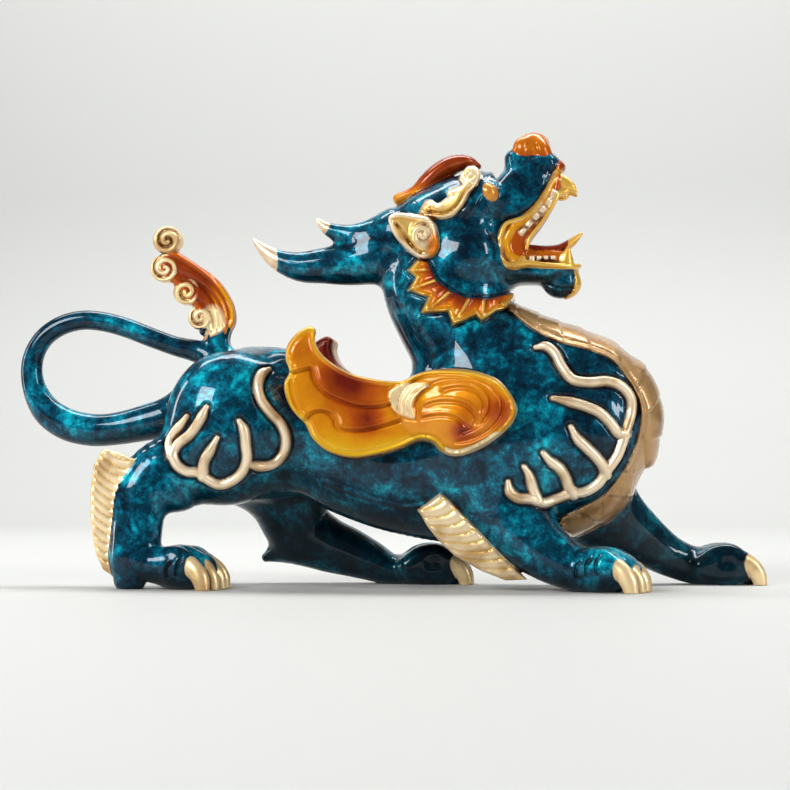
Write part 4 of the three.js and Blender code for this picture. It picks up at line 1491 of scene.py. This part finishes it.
class Nodes:
    """Short ways to make and join shader nodes."""

    def __init__(self, name):
        self.material = bpy.data.materials.new(name)
        self.material.use_nodes = True
        self.tree = self.material.node_tree
        self.tree.nodes.clear()
        self.place = self.add("ShaderNodeTexCoord").outputs["Object"]

    def add(self, kind, **settings):
        node = self.tree.nodes.new(kind)
        for key, value in settings.items():
            setattr(node, key, value)
        return node

    def feed(self, socket, item):
        """Give a socket a plain number, a colour or another node's output."""
        if isinstance(item, (int, float)):
            socket.default_value = item
        elif isinstance(item, tuple):
            socket.default_value = (*item, 1)
        else:
            self.tree.links.new(item, socket)

    def value(self, name):
        return self.add("ShaderNodeAttribute", attribute_name=name).outputs["Fac"]

    def math(self, operation, *items):
        node = self.add("ShaderNodeMath", operation=operation)
        for socket, item in zip(node.inputs, items):
            self.feed(socket, item)
        return node.outputs[0]

    def noise(self, scale, detail, roughness, distortion=0.0):
        node = self.add("ShaderNodeTexNoise")
        self.feed(node.inputs["Vector"], self.place)
        self.feed(node.inputs["Scale"], scale)
        self.feed(node.inputs["Detail"], detail)
        self.feed(node.inputs["Roughness"], roughness)
        self.feed(node.inputs["Distortion"], distortion)
        return node.outputs["Fac"]

    def ramp(self, source, stops):
        node = self.add("ShaderNodeValToRGB")
        band = node.color_ramp
        while len(band.elements) < len(stops):
            band.elements.new(0.5)
        for element, (place, colour) in zip(band.elements, stops):
            element.position = place
            element.color = (*colour, 1)
        self.feed(node.inputs["Fac"], source)
        return node.outputs["Color"]

    def mix(self, factor, a, b, blend_type="MIX"):
        node = self.add("ShaderNodeMix", data_type="RGBA", blend_type=blend_type)
        inputs = {socket.identifier: socket for socket in node.inputs}
        self.feed(inputs["Factor_Float"], factor)
        self.feed(inputs["A_Color"], a)
        self.feed(inputs["B_Color"], b)
        return next(s for s in node.outputs if s.identifier == "Result_Color")

    def multiplied(self, a, b):
        return self.mix(1.0, a, b, "MULTIPLY")

    def zone(self, name):
        """1 inside a painted zone, 0 outside."""
        scaled = self.math("MULTIPLY_ADD", self.value(name), -0.5 / BORDER, 0.5)
        clamped = self.add("ShaderNodeClamp")
        self.feed(clamped.inputs["Value"], scaled)
        return clamped.outputs[0]


def lacquer():
    nodes = Nodes("coloured_lacquer")
    clouds = nodes.noise(85, 7, 0.66, 0.5)
    grains = nodes.noise(340, 5, 0.7, 0.2)
    broad = nodes.noise(24, 3, 0.5)
    # Painted shade mask for the hollows
    opened = nodes.value("open")

    # Mottled teal glaze, with painted shade in the hollows, underneath and on the inner sides of the legs
    mottling = nodes.math("MULTIPLY", clouds, CLOUDS_SHARE)
    mottling = nodes.math("MULTIPLY_ADD", grains, GRAINS_SHARE, mottling)
    mottling = nodes.math("MULTIPLY_ADD", broad, BROAD_SHARE, mottling)
    teal = nodes.multiplied(nodes.ramp(mottling, TEAL), nodes.ramp(opened, TEAL_HOLLOW_SHADE))
    # Painted shade: dark teal underneath and on the inner sides of the legs
    teal = nodes.mix(nodes.math("MULTIPLY", nodes.value("inner"), 0.85), teal, SHADE_TEAL)

    shift = nodes.math("MULTIPLY_ADD", clouds, 0.4, -0.2)
    amber = nodes.ramp(nodes.math("ADD", nodes.value("hue"), shift), AMBER)

    worn = nodes.ramp(nodes.noise(70, 2, 0.5), WORN)
    gold = nodes.multiplied(nodes.ramp(nodes.value("warm"), GOLD), worn)
    # Painted shade in the gold's hollows
    gold = nodes.multiplied(gold, nodes.ramp(opened, GOLD_HOLLOW_SHADE))

    in_gold = nodes.zone("gold")
    colour = nodes.mix(in_gold, nodes.mix(nodes.zone("amber"), teal, amber), gold)

    bump = nodes.add("ShaderNodeBump")
    nodes.feed(bump.inputs["Strength"], 0.12)
    nodes.feed(bump.inputs["Distance"], 0.0004)
    nodes.feed(bump.inputs["Height"], grains)
    shader = nodes.add("ShaderNodeBsdfPrincipled")
    settings = {
        "Base Color": colour,
        "Metallic": nodes.math("MULTIPLY_ADD", in_gold, 0.25, 0.22),
        "Roughness": nodes.math("MULTIPLY_ADD", in_gold, 0.02, 0.34),
        "Specular IOR Level": 0.03,
        "Coat Weight": 1.0,
        "Coat Roughness": 0.03,
        "Coat IOR": 1.34,
        "Normal": bump.outputs["Normal"],
    }
    for name, item in settings.items():
        nodes.feed(shader.inputs[name], item)
    output = nodes.add("ShaderNodeOutputMaterial")
    nodes.feed(output.inputs["Surface"], shader.outputs[0])
    return nodes.material


def plain_material(name, colour, roughness):
    material = bpy.data.materials.new(name)
    material.use_nodes = True
    shader = material.node_tree.nodes["Principled BSDF"]
    shader.inputs["Base Color"].default_value = (*colour, 1)
    shader.inputs["Roughness"].default_value = roughness
    return material, shader


# Stage: the floor's front, back and half width, its bend, the top of the backdrop and how much of
# it fades out, in metres
SWEEP_FRONT = -1.15
SWEEP_BACK = 1.3
SWEEP_HALF = 1.7
SWEEP_BEND = 0.5
SWEEP_BEND_STEPS = 16
SWEEP_TOP = 2.6
SWEEP_FADE = 0.5
SWEEP_COLOUR = (0.53, 0.535, 0.52)
# The bowl round it, as rings of (radius, height)
ROOM_RINGS = ((0.001, -0.004), (2.2, -0.004), (2.9, 0.3), (3.2, 1.0), (3.2, 4.0))
ROOM_SIDES = 64
ROOM_COLOUR = (0.86, 0.87, 0.85)
ROOM_GLOW = 0.72


def sheet_faces(rows, columns, closed=False):
    """Faces between rows of points, each row of `columns` points, joined round if `closed`."""
    faces = []
    for row in range(rows - 1):
        for i in range(columns if closed else columns - 1):
            j = (i + 1) % columns
            a = row * columns
            faces.append((a + i, a + j, a + columns + j, a + columns + i))
    return np.array(faces)


def stage():
    """A pale floor that bends up into a backdrop, and fades out at the front and at the sides."""
    profile = [(SWEEP_FRONT, 0.0), (SWEEP_FRONT + SWEEP_FADE, 0.0)]
    for i in range(SWEEP_BEND_STEPS + 1):
        angle = math.radians(90) * i / SWEEP_BEND_STEPS
        rise = SWEEP_BEND * (1 - math.cos(angle))
        profile.append((SWEEP_BACK + SWEEP_BEND * math.sin(angle), rise))
    profile.append((SWEEP_BACK + SWEEP_BEND, SWEEP_TOP))
    full = SWEEP_HALF - SWEEP_FADE
    columns = (-SWEEP_HALF, -full, full, SWEEP_HALF)
    points = np.array([(x, y, z) for y, z in profile for x in columns])
    floor = new_mesh("pale_floor", points, sheet_faces(len(profile), len(columns)))
    floor.data.shade_smooth()
    cover = (np.abs(points[:, 0]) <= full) & (points[:, 1] > SWEEP_FRONT)
    attribute = floor.data.attributes.new("cover", "FLOAT", "POINT")
    attribute.data.foreach_set("value", cover.astype(np.float32))
    paper, shader = plain_material("pale_paper", SWEEP_COLOUR, 0.6)
    value = paper.node_tree.nodes.new("ShaderNodeAttribute")
    value.attribute_name = "cover"
    paper.node_tree.links.new(value.outputs["Fac"], shader.inputs["Alpha"])
    floor.data.materials.append(paper)


def room():
    """A pale bowl all around, which only closes the picture in views from other sides."""
    points = []
    for radius, height in ROOM_RINGS:
        for i in range(ROOM_SIDES):
            angle = math.tau * i / ROOM_SIDES
            points.append((radius * math.cos(angle), radius * math.sin(angle), height))
    faces = sheet_faces(len(ROOM_RINGS), ROOM_SIDES, closed=True)
    bowl = new_mesh("pale_room", np.array(points), faces)
    bowl.data.shade_smooth()
    material, shader = plain_material("pale_room", ROOM_COLOUR, 1.0)
    shader.inputs["Emission Color"].default_value = (*ROOM_COLOUR, 1)
    shader.inputs["Emission Strength"].default_value = ROOM_GLOW
    bowl.data.materials.append(material)
    bowl.visible_diffuse = False
    bowl.visible_glossy = False
    bowl.visible_shadow = False


def aim_at(item, place, aim):
    item.location = place
    item.rotation_mode = "QUATERNION"
    item.rotation_quaternion = Vector(np.subtract(aim, place)).to_track_quat("-Z", "Y")


def softbox(name, place, aim, width, height, power):
    light = bpy.data.lights.new(name, "AREA")
    light.shape = "RECTANGLE"
    light.size = width
    light.size_y = height
    light.energy = power
    aim_at(link_in(name, light), place, aim)


def lights():
    centre = (0.0, 0.0, 0.1)
    softbox("key_box", (-0.8, -1.0, 0.75), centre, 0.55, 0.5, 15)
    softbox("top_box", (0.1, 0.45, 1.25), centre, 1.1, 0.22, 5)
    softbox("right_box", (1.25, -0.65, 0.6), centre, 0.2, 0.8, 9)
    softbox("left_strip", (-1.3, 0.1, 0.45), centre, 0.14, 0.9, 5)
    softbox("backdrop_box", (0.0, 0.6, 2.2), (0.0, 1.7, 0.4), 3.4, 0.6, 76)
    world = bpy.data.worlds.new("studio")
    bpy.context.scene.world = world
    world.use_nodes = True
    background = world.node_tree.nodes["Background"]
    background.inputs["Color"].default_value = (0.9, 0.92, 0.95, 1)
    background.inputs["Strength"].default_value = 0.1


def camera():
    data = bpy.data.cameras.new("side_view")
    data.sensor_width = 36
    data.lens = data.sensor_width / 2 / (PICTURE_WIDTH / 2 / EYE_DISTANCE)
    eye = link_in("side_view", data)
    place = EYE_DISTANCE * np.array((math.sin(EYE_TURN), -math.cos(EYE_TURN), 0))
    place[2] = EYE_HEIGHT
    aim_at(eye, to_frame(place), to_frame(np.array((0.0, 0.0, AIM_HEIGHT))))
    bpy.context.scene.camera = eye
    bpy.context.scene.view_settings.view_transform = "Standard"


camera()
lights()
stage()
room()
body = statue()
body.data.materials.clear()
body.data.materials.append(lacquer())
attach(body, "root")
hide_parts("pixiu")
